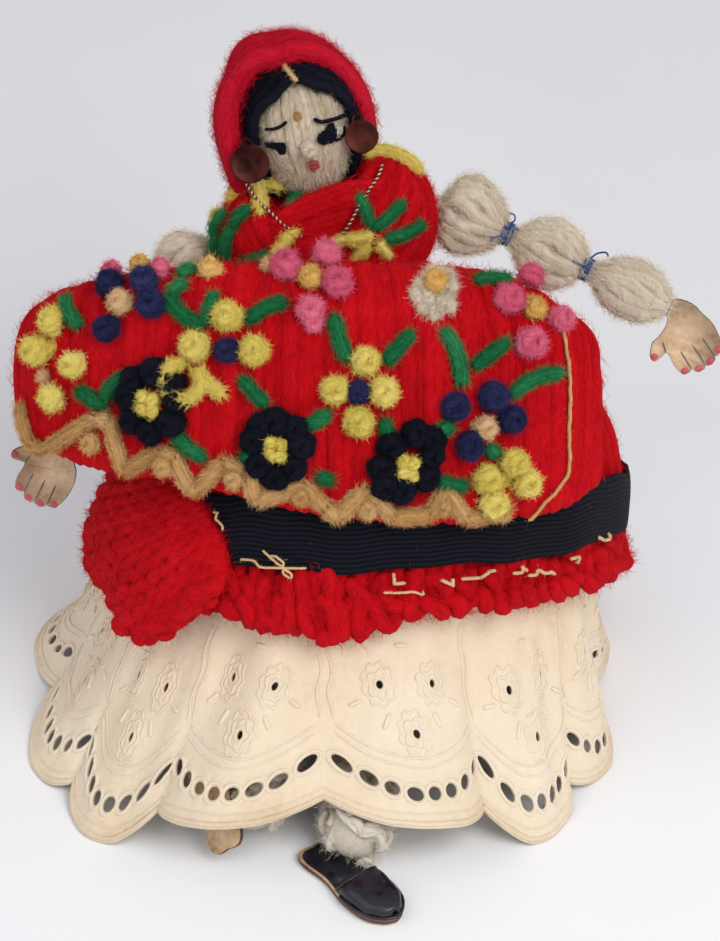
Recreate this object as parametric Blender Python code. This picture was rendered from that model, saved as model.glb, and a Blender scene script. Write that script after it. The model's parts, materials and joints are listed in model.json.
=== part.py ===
"""A yarn doll in country dress, sitting back on her skirts with her feet in front.

The world frame is metres with +Z up and the doll facing -Y. The head, arms, shawl and apron are built in an
upper frame whose origin is the waist and which leans back; skirt, petticoat and legs are built in the world.
"""

import math

import bmesh
import bpy
from mathutils import Matrix, Vector

MM = 0.001

# Air left between pieces that touch on the real doll.
GAP = 0.35 * MM

# Posture.
WAIST = Vector((0.0, 10.0 * MM, 70.5 * MM))
LEAN = math.radians(30)

# Skirt: reaches are measured from the waist's axis.
SKIRT_LEFT_REACH = 41.0 * MM
SKIRT_RIGHT_REACH = 55.0 * MM
SKIRT_FRONT_REACH = 27.5 * MM
SKIRT_BACK_REACH = 33.0 * MM
SKIRT_DROP = 43.0 * MM
SKIRT_THICKNESS = 4.0 * MM
SKIRT_PLEAT_DEPTH = 0.9 * MM
SKIRT_PLEATS = 18
RIBBON_THICKNESS = 0.8 * MM
FRILL_THICKNESS = 2.4 * MM
FRILL_DROP = 9.0 * MM
FRILL_FLARE = 5.5 * MM
FRILL_WAVE = 1.2 * MM
FRILL_WAVES = 14

# Petticoat: the hem stands on the floor and its front arches over the legs.
PETTICOAT_THICKNESS = 1.2 * MM
PETTICOAT_HEM_LEFT = 56.0 * MM
PETTICOAT_HEM_RIGHT = 54.0 * MM
PETTICOAT_HEM_FRONT = 57.5 * MM
PETTICOAT_HEM_BACK = 42.5 * MM
PETTICOAT_ARCH = 12.0 * MM
SCALLOPS = 12
SCALLOP_DEPTH = 5.5 * MM
SCALLOP_RISE = 3.0 * MM
FOOT_CUT = 0.5 * MM

# Apron of laid yarn.
APRON_HALF_WIDTH = 57.0 * MM
APRON_REACH = 34.0 * MM
APRON_TOP = 16.0 * MM
APRON_DROP = 30.0 * MM
APRON_THICKNESS = 3.2 * MM
APRON_LEFT_ANGLE = math.radians(-78)
APRON_RIGHT_ANGLE = math.radians(60)
# The ends' width keeps this share however far down the section is.
APRON_FULL_END_SHARE = 0.55
# A knot's flat foot stands this far over the curved cloth.
KNOT_SEAT = 0.6 * MM
KNOT_RADIUS = 2.2 * MM
KNOT_HEIGHT = 2.6 * MM
STITCH_WIDTH = 2.0 * MM
STITCH_HEIGHT = 1.2 * MM
STITCH_TOP_SHARE = 0.6

# Body core, shawl and wires.
CORE_HALF_WIDTH = 8.0 * MM
CORE_HALF_DEPTH = 4.2 * MM
CORE_TOP = 21.0 * MM
CORE_BOTTOM = 28.0 * MM
SHAWL_LEFT_MIDDLE = Vector((-10.3 * MM, -1.0 * MM, 19.5 * MM))
SHAWL_LEFT_HALF = Vector((9.0 * MM, 7.5 * MM, 9.3 * MM))
SHAWL_RIGHT_MIDDLE = Vector((9.7 * MM, -1.2 * MM, 22.0 * MM))
SHAWL_RIGHT_HALF = Vector((10.5 * MM, 8.0 * MM, 12.3 * MM))
SHAWL_RIM_SHARE = 0.97
OVERRUN = 2.0 * MM
WIRE_RADIUS = 0.5 * MM
WIRE_CLEARANCE = 0.3 * MM

# Head. The clearance lets it turn between the shawl's bundles.
HEAD_CLEARANCE = 2.4 * MM
HEAD_HALF_WIDTH = 8.2 * MM
HEAD_HALF_DEPTH = 9.2 * MM
HEAD_HALF_HEIGHT = 12.0 * MM
HEAD_ROLL = math.radians(-11)
HEAD_FORWARD = 1.5 * MM
HEAD_CUT_SHARE = 0.98
HAIR_THICKNESS = 1.8 * MM
SCARF_THICKNESS = 3.4 * MM
NECK_RADIUS = 3.0 * MM
NECK_LENGTH = 4.6 * MM
NECK_X = -2.5 * MM
NECK_PIN_REACH = 5.0 * MM
NOSE_RADIUS = 1.5 * MM
EYE_RADIUS = 1.3 * MM
EARRING_RADIUS = 3.6 * MM
EARRING_THICKNESS = 0.5 * MM
EARRING_PLACE = Vector((10.0 * MM, -8.8 * MM, -4.0 * MM))
EARRING_HOLE_INSET = 0.8 * MM
EARRING_HOOK_LENGTH = 2.9 * MM
NECKLACE_RADIUS = 0.45 * MM

# Arms: three yarn puffs each, tied with thread, and a flat hand.
SLEEVE_LENGTHS = (14.2 * MM, 15.8 * MM, 15.0 * MM)
SLEEVE_HALF_HEIGHTS = (8.0 * MM, 6.8 * MM, 5.8 * MM)
SLEEVE_HALF_DEPTHS = (5.2 * MM, 4.6 * MM, 4.2 * MM)
SLEEVE_NECK_RADIUS = 1.6 * MM
SLEEVE_END_GAP = 0.6 * MM
TIE_THREAD_RADIUS = 0.45 * MM
HAND_LENGTH = 13.0 * MM
HAND_THICKNESS = 1.2 * MM

# Legs and shoes.
THIGH_RADIUS = 5.2 * MM
ANKLE_RADIUS = 4.2 * MM
SHOE_LENGTH = 24.5 * MM
SHOE_WIDTH = 9.6 * MM
SOLE_THICKNESS = 1.2 * MM
SHOE_UPPER_HEIGHT = 3.0 * MM

UPPER_FRAME = Matrix.Translation(WAIST) @ Matrix.Rotation(-LEAN, 4, "X")


def clear_scene():
    for old in list(bpy.data.objects):
        bpy.data.objects.remove(old)


def material(name, colour, roughness=0.9, metallic=0.0):
    found = bpy.data.materials.get(name)
    if found:
        return found
    made = bpy.data.materials.new(name)
    made.use_nodes = True
    shader = made.node_tree.nodes["Principled BSDF"]
    shader.inputs["Base Color"].default_value = (*colour, 1.0)
    shader.inputs["Roughness"].default_value = roughness
    shader.inputs["Metallic"].default_value = metallic
    return made


def red_wool():
    return material("red_wool", (0.62, 0.01, 0.02))


def cream_wool():
    return material("cream_wool", (0.72, 0.62, 0.47))


def skin_wool():
    return material("skin_wool", (0.55, 0.42, 0.3))


def dark_wool():
    return material("dark_wool", (0.01, 0.01, 0.03))


def yellow_wool():
    return material("yellow_wool", (0.72, 0.55, 0.09))


def tan_wool():
    return material("tan_wool", (0.7, 0.42, 0.18))


def pink_wool():
    return material("pink_wool", (0.8, 0.15, 0.28))


def navy_wool():
    return material("navy_wool", (0.03, 0.03, 0.14))


def blue_thread():
    return material("blue_thread", (0.05, 0.1, 0.35))


def black_tape():
    return material("black_tape", (0.01, 0.012, 0.02), 0.8)


def cotton():
    return material("cotton", (0.82, 0.7, 0.52))


def card():
    return material("card", (0.62, 0.42, 0.24), 0.7)


def patent_black():
    return material("patent_black", (0.015, 0.01, 0.02), 0.3)


def copper():
    return material("copper", (0.35, 0.12, 0.05), 0.35, 0.9)


def steel_wire():
    return material("steel_wire", (0.4, 0.4, 0.42), 0.4, 1.0)


def empty(name, matrix, parent=None):
    made = bpy.data.objects.new(name, None)
    bpy.context.scene.collection.objects.link(made)
    made.parent = parent
    made.matrix_basis = matrix
    return made


def mesh_object(name, points, faces, finish, parent=None, smooth_angle=50):
    mesh = bpy.data.meshes.new(name)
    mesh.from_pydata([tuple(p) for p in points], [], faces)
    work = bmesh.new()
    work.from_mesh(mesh)
    bmesh.ops.recalc_face_normals(work, faces=work.faces)
    work.to_mesh(mesh)
    work.free()
    mesh.shade_smooth()
    mesh.set_sharp_from_angle(angle=math.radians(smooth_angle))
    mesh.materials.append(finish)
    made = bpy.data.objects.new(name, mesh)
    bpy.context.scene.collection.objects.link(made)
    made.parent = parent
    return made


def loft_faces(ring_count, ring_size, first=0, capped=True):
    faces = []
    for ring in range(ring_count - 1):
        for k in range(ring_size):
            a = first + ring * ring_size + k
            b = first + ring * ring_size + (k + 1) % ring_size
            faces.append((a, b, b + ring_size, a + ring_size))
    if capped:
        faces.append(tuple(first + k for k in range(ring_size)))
        last = first + (ring_count - 1) * ring_size
        faces.append(tuple(last + k for k in range(ring_size)))
    return faces


def loft(name, rings, finish, parent=None, smooth_angle=50):
    points = [p for ring in rings for p in ring]
    return mesh_object(name, points, loft_faces(len(rings), len(rings[0])), finish, parent, smooth_angle)


def double_loft(name, outer_rings, inner_rings, finish, parent=None):
    """A shell open at both ends: outer rings run down the outside and inner rings back up the inside."""
    rings = list(outer_rings) + list(reversed(inner_rings))
    size = len(rings[0])
    points = [p for ring in rings for p in ring]
    faces = loft_faces(len(rings), size, capped=False)
    last = (len(rings) - 1) * size
    for k in range(size):
        faces.append((last + k, last + (k + 1) % size, (k + 1) % size, k))
    return mesh_object(name, points, faces, finish, parent)


def merge_bodies(name, bodies, finish, parent=None, smooth_angle=50):
    """Several separate solids as one object. Each body is (points, faces)."""
    points, faces = [], []
    for body_points, body_faces in bodies:
        start = len(points)
        points += body_points
        faces += [tuple(start + i for i in face) for face in body_faces]
    return mesh_object(name, points, faces, finish, parent, smooth_angle)


def blend_table(values, share):
    """A smooth curve through evenly spaced values, read at a share from 0 to 1."""
    place = min(max(share, 0.0), 1.0) * (len(values) - 1)
    k = min(int(place), len(values) - 2)
    t = place - k
    before = values[max(k - 1, 0)]
    here = values[k]
    there = values[k + 1]
    after = values[min(k + 2, len(values) - 1)]
    slope_here = (there - before) / 2
    slope_there = (after - here) / 2
    return (
        here * (2 * t**3 - 3 * t**2 + 1)
        + slope_here * (t**3 - 2 * t**2 + t)
        + there * (3 * t**2 - 2 * t**3)
        + slope_there * (t**3 - t**2)
    )


def frame_along(start, end, side_hint):
    """A matrix at start whose X axis points at end and whose Y axis is near side_hint."""
    x_axis = (Vector(end) - Vector(start)).normalized()
    z_axis = x_axis.cross(Vector(side_hint)).normalized()
    y_axis = z_axis.cross(x_axis)
    turn = Matrix((x_axis, y_axis, z_axis)).transposed().to_4x4()
    return Matrix.Translation(Vector(start)) @ turn


def upper_to_world(y, z):
    return UPPER_FRAME @ Vector((0.0, y, z))


def tube_along(path, radii, sides, side_hint):
    """Rings round a path of points, each ring square to the path. Radii are (side, other) pairs."""
    rings = []
    for k, centre in enumerate(path):
        ahead = (path[min(k + 1, len(path) - 1)] - path[max(k - 1, 0)]).normalized()
        side = Vector(side_hint)
        side = (side - ahead * side.dot(ahead)).normalized()
        other = side.cross(ahead)
        wide, deep = radii[k]
        ring = []
        for n in range(sides):
            angle = math.tau * n / sides
            ring.append(centre + side * (wide * math.cos(angle)) + other * (deep * math.sin(angle)))
        rings.append(ring)
    return rings


def smooth_path(points, count):
    """Points evenly spread in parameter along a smooth curve through the given points."""
    coords = [[p[axis] for p in points] for axis in range(3)]
    return [Vector([blend_table(c, k / (count - 1)) for c in coords]) for k in range(count)]


# Skirt and petticoat

# Each ring of the skirt, from waist to hem: left, right, front and back reach as shares of the skirt's
# reaches, the front's height in the upper frame and the back's height over the floor as shares.
SKIRT_SIDES = 54
SKIRT_RING_SHARES = (
    (0.275, 0.205, 0.315, 0.19, 0.07, 0.925),
    (0.38, 0.36, 0.58, 0.46, 0.16, 0.895),
    (0.46, 0.56, 0.80, 0.72, 0.15, 0.79),
    (0.56, 0.78, 0.95, 0.87, 0.00, 0.62),
    (0.72, 0.94, 1.00, 0.94, -0.28, 0.44),
    (0.88, 0.985, 0.99, 0.98, -0.60, 0.30),
    (0.96, 0.985, 0.975, 0.99, -0.82, 0.20),
    (1.0, 0.97, 0.95, 1.0, -1.0, 0.125),
)


def skirt_ring(row, outward=0.0, sides=SKIRT_SIDES, pleats=True):
    """One closed ring round the skirt. Outward moves it away from the skirt's surface."""
    left, right, front, back, front_height, back_height = row
    front_point = upper_to_world(-(SKIRT_FRONT_REACH * front + outward), SKIRT_DROP * front_height)
    back_point = Vector((0.0, WAIST.y + SKIRT_BACK_REACH * back + outward, WAIST.z * back_height))
    middle = (front_point + back_point) / 2
    half = (front_point - back_point) / 2
    ring = []
    for k in range(sides):
        angle = math.tau * k / sides
        reach = SKIRT_RIGHT_REACH * right if math.sin(angle) > 0 else SKIRT_LEFT_REACH * left
        ripple = 0.0
        if pleats:
            ripple = SKIRT_PLEAT_DEPTH * (left - SKIRT_RING_SHARES[0][0]) * math.cos(SKIRT_PLEATS * angle)
        point = middle + half * math.cos(angle) * (1 + ripple / half.length)
        point.x = (reach + outward + ripple) * math.sin(angle)
        ring.append(point)
    return ring


def skirt_rows(first=0.0, last=1.0, count=9):
    """Rows of the skirt's table between two shares of its length."""
    columns = list(zip(*SKIRT_RING_SHARES))
    rows = []
    for k in range(count):
        share = first + (last - first) * k / (count - 1)
        rows.append([blend_table(column, share) for column in columns])
    return rows


def make_skirt():
    rows = skirt_rows(count=7)
    outer = [skirt_ring(row) for row in rows]
    inner = [skirt_ring(row, -SKIRT_THICKNESS, pleats=False) for row in rows]
    return double_loft("skirt", outer, inner, red_wool())


RIBBON_TOP_SHARE = 0.70
RIBBON_BOTTOM_SHARE = 0.90


def make_ribbon():
    rows = skirt_rows(RIBBON_TOP_SHARE, RIBBON_BOTTOM_SHARE, 4)
    lift = GAP + SKIRT_PLEAT_DEPTH
    outer = [skirt_ring(row, lift + RIBBON_THICKNESS, pleats=False) for row in rows]
    inner = [skirt_ring(row, lift, pleats=False) for row in rows]
    return double_loft("skirt_ribbon", outer, inner, black_tape())


FRILL_SIDES = 56


def make_frill():
    """The ruffled yarn edge below the ribbon: a wavy band hung from the skirt's hem."""
    row = skirt_rows(0.99, 1.0, 2)[1]
    top = skirt_ring(row, 0.0, FRILL_SIDES, False)
    inner_top = skirt_ring(row, -FRILL_THICKNESS, FRILL_SIDES, False)
    middle = sum(top, Vector()) / len(top)
    outer, inner = [], []
    for step in range(4):
        share = step / 3
        outer_ring, inner_ring = [], []
        for k, (point, inner_point) in enumerate(zip(top, inner_top)):
            away = Vector((point.x - middle.x, point.y - middle.y, 0.0)).normalized()
            wave = FRILL_WAVE * share * math.sin(FRILL_WAVES * math.tau * k / FRILL_SIDES)
            room = max(min(point.z, inner_point.z) - 2 * GAP, 0.0)
            fall = min(2 * GAP + FRILL_DROP * share, room)
            move = away * (FRILL_FLARE * share + wave) - Vector((0, 0, fall))
            outer_ring.append(point + move)
            inner_ring.append(inner_point + move)
        outer.append(outer_ring)
        inner.append(inner_ring)
    return double_loft("skirt_frill", outer, inner, red_wool())


PETTICOAT_SIDES = 60
PETTICOAT_SQUARENESS = 2.6
# How the cloth falls from under the skirt to the hem: drop shares and the power that holds it in at first.
PETTICOAT_DROP_SHARES = (0.0, 0.3, 0.62, 0.86, 1.0)
PETTICOAT_FALL_POWER = 1.4
ARCH_START_SHARE = 0.75


# The stretch of the skirt that the petticoat's top follows, and how full each scallop is.
PETTICOAT_UNDER_SKIRT_SHARES = (0.62, 0.98)
SCALLOP_FULLNESS = 0.7


def petticoat_hem(inward=0.0):
    """The scalloped hem. Its lobes stand flat on the floor, and in front it arches over the legs."""
    power = 2 / PETTICOAT_SQUARENESS
    centre_y = (PETTICOAT_HEM_BACK - PETTICOAT_HEM_FRONT) / 2
    half_depth = (PETTICOAT_HEM_BACK + PETTICOAT_HEM_FRONT) / 2
    ring = []
    for k in range(PETTICOAT_SIDES):
        angle = math.tau * k / PETTICOAT_SIDES
        across, ahead = math.sin(angle), math.cos(angle)
        lobe = abs(math.sin(SCALLOPS * angle / 2)) ** SCALLOP_FULLNESS
        half_width = PETTICOAT_HEM_RIGHT if across > 0 else PETTICOAT_HEM_LEFT
        drawn_in = SCALLOP_DEPTH * (1 - lobe) + inward
        x = (half_width - drawn_in) * math.copysign(abs(across) ** power, across)
        y = centre_y - (half_depth - drawn_in) * math.copysign(abs(ahead) ** power, ahead)
        climb = min(max((ahead - ARCH_START_SHARE) / (1 - ARCH_START_SHARE), 0.0), 1.0)
        arch = PETTICOAT_ARCH * climb * climb * (3 - 2 * climb)
        rise = max(SCALLOP_RISE * (1 - lobe) - FOOT_CUT, 0.0)
        ring.append(Vector((x, y, arch + rise)))
    return ring


def petticoat_rings(inward=0.0):
    offset = -(SKIRT_THICKNESS + 3 * GAP + inward)
    rings = []
    for row in skirt_rows(*PETTICOAT_UNDER_SKIRT_SHARES, 2):
        rings.append(skirt_ring(row, offset, PETTICOAT_SIDES, False))
    top, hem = rings[-1], petticoat_hem(inward)
    for drop in PETTICOAT_DROP_SHARES[1:]:
        spread = drop**PETTICOAT_FALL_POWER
        ring = []
        for high, low in zip(top, hem):
            point = high.lerp(low, spread)
            point.z = high.z + (low.z - high.z) * drop
            ring.append(point)
        rings.append(ring)
    return rings


def make_petticoat():
    return double_loft("petticoat", petticoat_rings(), petticoat_rings(PETTICOAT_THICKNESS), cotton())


# Apron

# The apron's section from its waist edge over the top of the bulge to its lower edge.
APRON_REACH_SHARES = (0.40, 0.60, 0.80, 0.94, 1.0, 1.0, 0.972)
APRON_HEIGHT_SHARES = (0.74, 0.98, 0.98, 0.56, -0.13, -0.60, -1.0)
# How much of the upper and the lower height is lost towards the left and the right end.
APRON_LEFT_LOSS_SHARES = (0.55, 0.50)
APRON_RIGHT_LOSS_SHARES = (0.70, 0.10)
APRON_COLUMNS = 26
APRON_ROWS = 11


def apron_point(angle, down, lift=0.0):
    """A point on the apron's face in the upper frame. Angle turns about the waist, 0 being the middle."""
    reach = blend_table(APRON_REACH_SHARES, down)
    height = blend_table(APRON_HEIGHT_SHARES, down)
    if angle < 0:
        end = (angle / APRON_LEFT_ANGLE) ** 2
        upper_loss, lower_loss = APRON_LEFT_LOSS_SHARES
    else:
        end = (angle / APRON_RIGHT_ANGLE) ** 3
        upper_loss, lower_loss = APRON_RIGHT_LOSS_SHARES
    if height > 0:
        z = APRON_TOP * height * (1 - upper_loss * end)
    else:
        z = APRON_DROP * height * (1 - lower_loss * end)
    point = Vector((APRON_HALF_WIDTH * reach_across(reach, angle), -APRON_REACH * reach * math.cos(angle), z))
    if lift:
        point += apron_normal(angle, down) * lift
    return point


def reach_across(reach, angle):
    """The width follows the section less than the depth does, so that the ends stay full."""
    return math.sin(angle) * (APRON_FULL_END_SHARE + (1 - APRON_FULL_END_SHARE) * reach)


NORMAL_STEP_SHARE = 0.01


def apron_normal(angle, down):
    step = NORMAL_STEP_SHARE
    low = min(max(down, step), 1 - step)
    along = apron_point(angle + step, low) - apron_point(angle - step, low)
    below = apron_point(angle, low + step) - apron_point(angle, low - step)
    return along.cross(below).normalized() * -1


def make_apron(upper):
    outer, inner = [], []
    for row in range(APRON_ROWS):
        down = row / (APRON_ROWS - 1)
        for column in range(APRON_COLUMNS + 1):
            share = column / APRON_COLUMNS
            angle = APRON_LEFT_ANGLE + (APRON_RIGHT_ANGLE - APRON_LEFT_ANGLE) * share
            outer.append(apron_point(angle, down))
            inner.append(apron_point(angle, down, -APRON_THICKNESS))
    width = APRON_COLUMNS + 1
    faces = []
    count = len(outer)
    for row in range(APRON_ROWS - 1):
        for column in range(APRON_COLUMNS):
            a = row * width + column
            faces.append((a, a + 1, a + 1 + width, a + width))
            faces.append((count + a, count + a + width, count + a + 1 + width, count + a + 1))
    for column in range(APRON_COLUMNS):
        for a in (column, (APRON_ROWS - 1) * width + column):
            faces.append((a, a + 1, count + a + 1, count + a))
    for row in range(APRON_ROWS - 1):
        for a in (row * width, row * width + width - 1):
            faces.append((a, a + width, count + a + width, count + a))
    return mesh_object("apron", outer + inner, faces, red_wool(), upper)


# Embroidery. Its places are pixels of the front view, which looks down at VIEW_ELEVATION.

VIEW_ELEVATION = math.radians(38)
PIXEL = MM / 5.5
MIDDLE_COLUMN = 325
WAIST_ROW = 338.5

# Each flower: its name, the colour of most of its knots, its middle knot and the knots round it.
APRON_FLOWERS = (
    ("flowers_top_left", "navy_wool", (134, 312), ((122, 297), (156, 290), (162, 314), (119, 333), (149, 275))),
    ("flower_yellow_outer", "yellow_wool", (68, 361), ((66, 325), (49, 352), (88, 366), (64, 397))),
    ("flower_black_left", "dark_wool", (160, 403), ((163, 375), (137, 397), (187, 402), (160, 432))),
    ("flower_yellow_left", "yellow_wool", (234, 352), ((236, 322), (262, 354), (204, 350))),
    ("flower_pink_middle", "pink_wool", (312, 290), ((286, 278), (328, 266), (340, 292), (313, 317))),
    ("flower_black_middle", "dark_wool", (279, 446), ((281, 418), (254, 437), (305, 444), (281, 474))),
    ("flower_yellow_middle", "yellow_wool", (358, 396), ((365, 364), (334, 390), (384, 394), (359, 423))),
    ("flower_cream", "cream_wool", (431, 291), ((424, 319),)),
    ("flower_black_right", "dark_wool", (404, 458), ((411, 430), (379, 462), (430, 457), (400, 486))),
    ("flower_navy_right", "navy_wool", (478, 424), ((450, 407), (485, 397), (504, 420), (462, 446))),
    ("flower_pink_right", "pink_wool", (524, 315), ((498, 307), (524, 288), (551, 325), (522, 347))),
    ("flower_yellow_right", "yellow_wool", (500, 479), ((480, 478), (507, 458), (521, 480), (488, 500))),
)
ZIGZAG_PIXELS = (
    (30, 403), (41, 440), (62, 448), (106, 420), (118, 420), (134, 462), (171, 448), (198, 482), (230, 460),
    (258, 493), (306, 480), (339, 510), (365, 492), (398, 513), (441, 487), (463, 514), (478, 514),
)


# The apron's half width in the front view's columns.
APRON_HALF_COLUMNS = 313.5
# Where the front view's top outline touches the apron, and how near its ends and its lower edge stitches go.
APRON_CREST_SHARE = 0.3
APRON_SINE_LIMITS = (-0.97, 0.86)
LOWEST_STITCH_SHARE = 0.97


def apron_place(pixel):
    """The angle and the share down the apron that the front view shows at a pixel."""
    column, row = pixel
    x = (column - MIDDLE_COLUMN) * APRON_HALF_WIDTH / APRON_HALF_COLUMNS
    height = (WAIST_ROW - row) * PIXEL
    tilt = VIEW_ELEVATION - LEAN
    low, high = APRON_CREST_SHARE, 1.0
    for _ in range(24):
        down = (low + high) / 2
        reach = blend_table(APRON_REACH_SHARES, down)
        widest = APRON_HALF_WIDTH * (APRON_FULL_END_SHARE + (1 - APRON_FULL_END_SHARE) * reach)
        angle = math.asin(min(max(x / widest, APRON_SINE_LIMITS[0]), APRON_SINE_LIMITS[1]))
        point = apron_point(angle, down)
        if point.z * math.cos(tilt) + point.y * math.sin(tilt) > height:
            low = down
        else:
            high = down
    return angle, min(down, LOWEST_STITCH_SHARE)


# How far a flower's outer knots lie from its middle, as a share of a knot's width.
PETAL_REACH_SHARE = 0.74


KNOT_RING_SHARES = ((0.86, 0.0), (1.0, 0.4), (0.62, 0.9))
KNOT_SIDES = 6


def knot_body(centre, normal):
    """A low dome for one french knot, seated over what carries it."""
    side = normal.cross(Vector((0, 0, 1))).normalized()
    other = side.cross(normal)
    points = []
    for wide, high in KNOT_RING_SHARES:
        for k in range(KNOT_SIDES):
            angle = math.tau * k / KNOT_SIDES
            out = side * math.cos(angle) + other * math.sin(angle)
            points.append(centre + out * (KNOT_RADIUS * wide) + normal * (KNOT_SEAT + KNOT_HEIGHT * high))
    return points, loft_faces(len(KNOT_RING_SHARES), KNOT_SIDES)


def bar_body(start, end, start_normal, end_normal, width, height):
    """One straight stitch: a flat bar with sloping ends, a gap over what carries it."""
    along = (end - start).normalized()
    points = []
    for place, normal, inward in ((start, start_normal, 1), (end, end_normal, -1)):
        side = along.cross(normal).normalized() * (width / 2)
        low = place + normal * GAP
        high = low + normal * height + along * (inward * height / 2)
        points += [low - side, low + side, high + side * STITCH_TOP_SHARE, high - side * STITCH_TOP_SHARE]
    faces = [(0, 1, 2, 3), (4, 5, 6, 7)]
    faces += [(k, (k + 1) % 4, 4 + (k + 1) % 4, 4 + k) for k in range(4)]
    return points, faces


def apron_surface(place):
    return apron_point(*place), apron_normal(*place)


def one_stitch(name, pair, surface, width, height, finish, parent):
    (start, start_normal), (end, end_normal) = surface(pair[0]), surface(pair[1])
    body = bar_body(start, end, start_normal, end_normal, width, height)
    return merge_bodies(name, [body], finish, parent)


def joined(name, bodies, finish, parent):
    """Bodies that touch one another, joined into one."""
    main = merge_bodies(name, bodies[:1], finish, parent)
    group = bpy.data.collections.new(name + "_rest")
    bpy.context.scene.collection.children.link(group)
    for number, body in enumerate(bodies[1:]):
        extra = cutter(merge_bodies(f"{name}_{number}", [body], finish, parent))
        bpy.context.scene.collection.objects.unlink(extra)
        group.objects.link(extra)
    union = main.modifiers.new("union", "BOOLEAN")
    union.operation = "UNION"
    union.solver = "EXACT"
    union.operand_type = "COLLECTION"
    union.collection = group
    return main


def make_flower(name, finish, middle, petals, upper):
    """A flower of french knots that touch its middle knot."""
    heart = apron_place(middle)
    places = [heart]
    for pixel in petals:
        place = apron_place(pixel)
        for _ in range(5):
            away = (apron_point(*place) - apron_point(*heart)).length
            share = 2 * KNOT_RADIUS * PETAL_REACH_SHARE / away
            place = tuple(h + (p - h) * share for h, p in zip(heart, place))
        places.append(place)
    bodies = [knot_body(*apron_surface(place)) for place in places]
    joined("apron_" + name, bodies, finish, upper)


def make_zigzag(upper):
    """The tan chain that runs in peaks along the apron's lower edge, as one flat band."""
    rings = []
    places = [apron_place(pixel) for pixel in ZIGZAG_PIXELS]
    for k, place in enumerate(places):
        point, normal = apron_surface(place)
        before = apron_point(*places[max(k - 1, 0)])
        after = apron_point(*places[min(k + 1, len(places) - 1)])
        side = (after - before).cross(normal).normalized() * (STITCH_WIDTH / 2)
        low = point + normal * GAP
        high = low + normal * STITCH_HEIGHT
        rings.append([low - side, low + side, high + side * STITCH_TOP_SHARE, high - side * STITCH_TOP_SHARE])
    loft("apron_zigzag", rings, tan_wool(), upper, 30)


def make_embroidery(upper):
    finishes = {"navy_wool": navy_wool, "yellow_wool": yellow_wool, "dark_wool": dark_wool,
                "pink_wool": pink_wool, "cream_wool": cream_wool}
    for name, colour, middle, petals in APRON_FLOWERS:
        make_flower(name, finishes[colour](), middle, petals, upper)
    make_zigzag(upper)


# Body core, wires and shawl

CORE_SIDES = 14
# Height along the core, then half width and half depth as shares of the core's.
CORE_RING_SHARES = ((-1.0, 0.55, 0.8), (-0.5, 0.8, 1.0), (0.0, 0.85, 1.0), (0.45, 1.0, 1.0), (0.85, 0.9, 0.95),
                    (1.0, 0.55, 0.75))


def core_rings(outward=0.0, over=0.0):
    rings = []
    for k, (height, wide, deep) in enumerate(CORE_RING_SHARES):
        z = height * (CORE_TOP if height > 0 else CORE_BOTTOM)
        z += over * ((k == len(CORE_RING_SHARES) - 1) - (k == 0))
        ring = []
        for n in range(CORE_SIDES):
            angle = math.tau * n / CORE_SIDES
            x = (CORE_HALF_WIDTH * wide + outward) * math.cos(angle)
            ring.append(Vector((x, (CORE_HALF_DEPTH * deep + outward) * math.sin(angle), z)))
        rings.append(ring)
    return rings


def circle_ring(centre, radius, sides):
    return [
        Vector(centre) + Vector((math.cos(math.tau * n / sides), math.sin(math.tau * n / sides), 0)) * radius
        for n in range(sides)
    ]


def cutter(made):
    made.hide_render = True
    made.display_type = "WIRE"
    return made


def carve(target, tool):
    """Takes the tool's shape out of the target."""
    change = target.modifiers.new(tool.name, "BOOLEAN")
    change.operation = "DIFFERENCE"
    change.solver = "EXACT"
    change.object = tool


def rod_body(start, end, radius, sides=8):
    start, end = Vector(start), Vector(end)
    hint = (0, 1, 0) if abs((end - start).normalized().y) < 0.8 else (1, 0, 0)
    rings = tube_along([start, end], [(radius, radius)] * 2, sides, hint)
    return [p for ring in rings for p in ring], loft_faces(2, sides)


def rod(name, start, end, radius, finish, parent=None, sides=8):
    return merge_bodies(name, [rod_body(start, end, radius, sides)], finish, parent)


# The shoulders' pivots, both as far back as the wire that runs through the core.
ARM_WIRE_BACK = 1.8 * MM
SHOULDER_RIGHT = Vector((20.9 * MM, ARM_WIRE_BACK, 24.3 * MM))
SHOULDER_LEFT = Vector((-20.3 * MM, ARM_WIRE_BACK, 17.0 * MM))


def arm_wire_ends():
    """The shoulder wire stops just short of each shoulder's pivot."""
    short = (SHOULDER_RIGHT - SHOULDER_LEFT).normalized() * GAP
    return SHOULDER_LEFT + short, SHOULDER_RIGHT - short


def make_core(upper):
    bore = WIRE_RADIUS + WIRE_CLEARANCE
    outer = core_rings()
    inner = [circle_ring((0, 0, ring[0].z), bore, CORE_SIDES) for ring in outer]
    core = double_loft("body_core", outer, inner, cream_wool(), upper)
    left, right = arm_wire_ends()
    beyond = (right - left).normalized() * OVERRUN
    wire_bore = cutter(rod("wire_bore", left - beyond, right + beyond, bore, steel_wire(), upper, 10))
    carve(core, wire_bore)
    low, high = (0, 0, -CORE_BOTTOM + OVERRUN), (0, 0, CORE_TOP - GAP)
    rod("spine_wire", low, high, WIRE_RADIUS, steel_wire(), upper)
    rod("shoulder_wire", left, right, WIRE_RADIUS, steel_wire(), upper)
    return wire_bore


def ellipsoid_rings(middle, half, rows, sides):
    """Rings from the top of an ellipsoid to its bottom, without its poles."""
    rings = []
    for row in range(rows):
        polar = math.pi * (row + 0.5) / rows
        ring = []
        for n in range(sides):
            angle = math.tau * n / sides
            unit = Vector((math.sin(polar) * math.cos(angle), math.sin(polar) * math.sin(angle), math.cos(polar)))
            ring.append(middle + Vector((unit.x * half.x, unit.y * half.y, unit.z * half.z)))
        rings.append(ring)
    return rings


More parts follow.
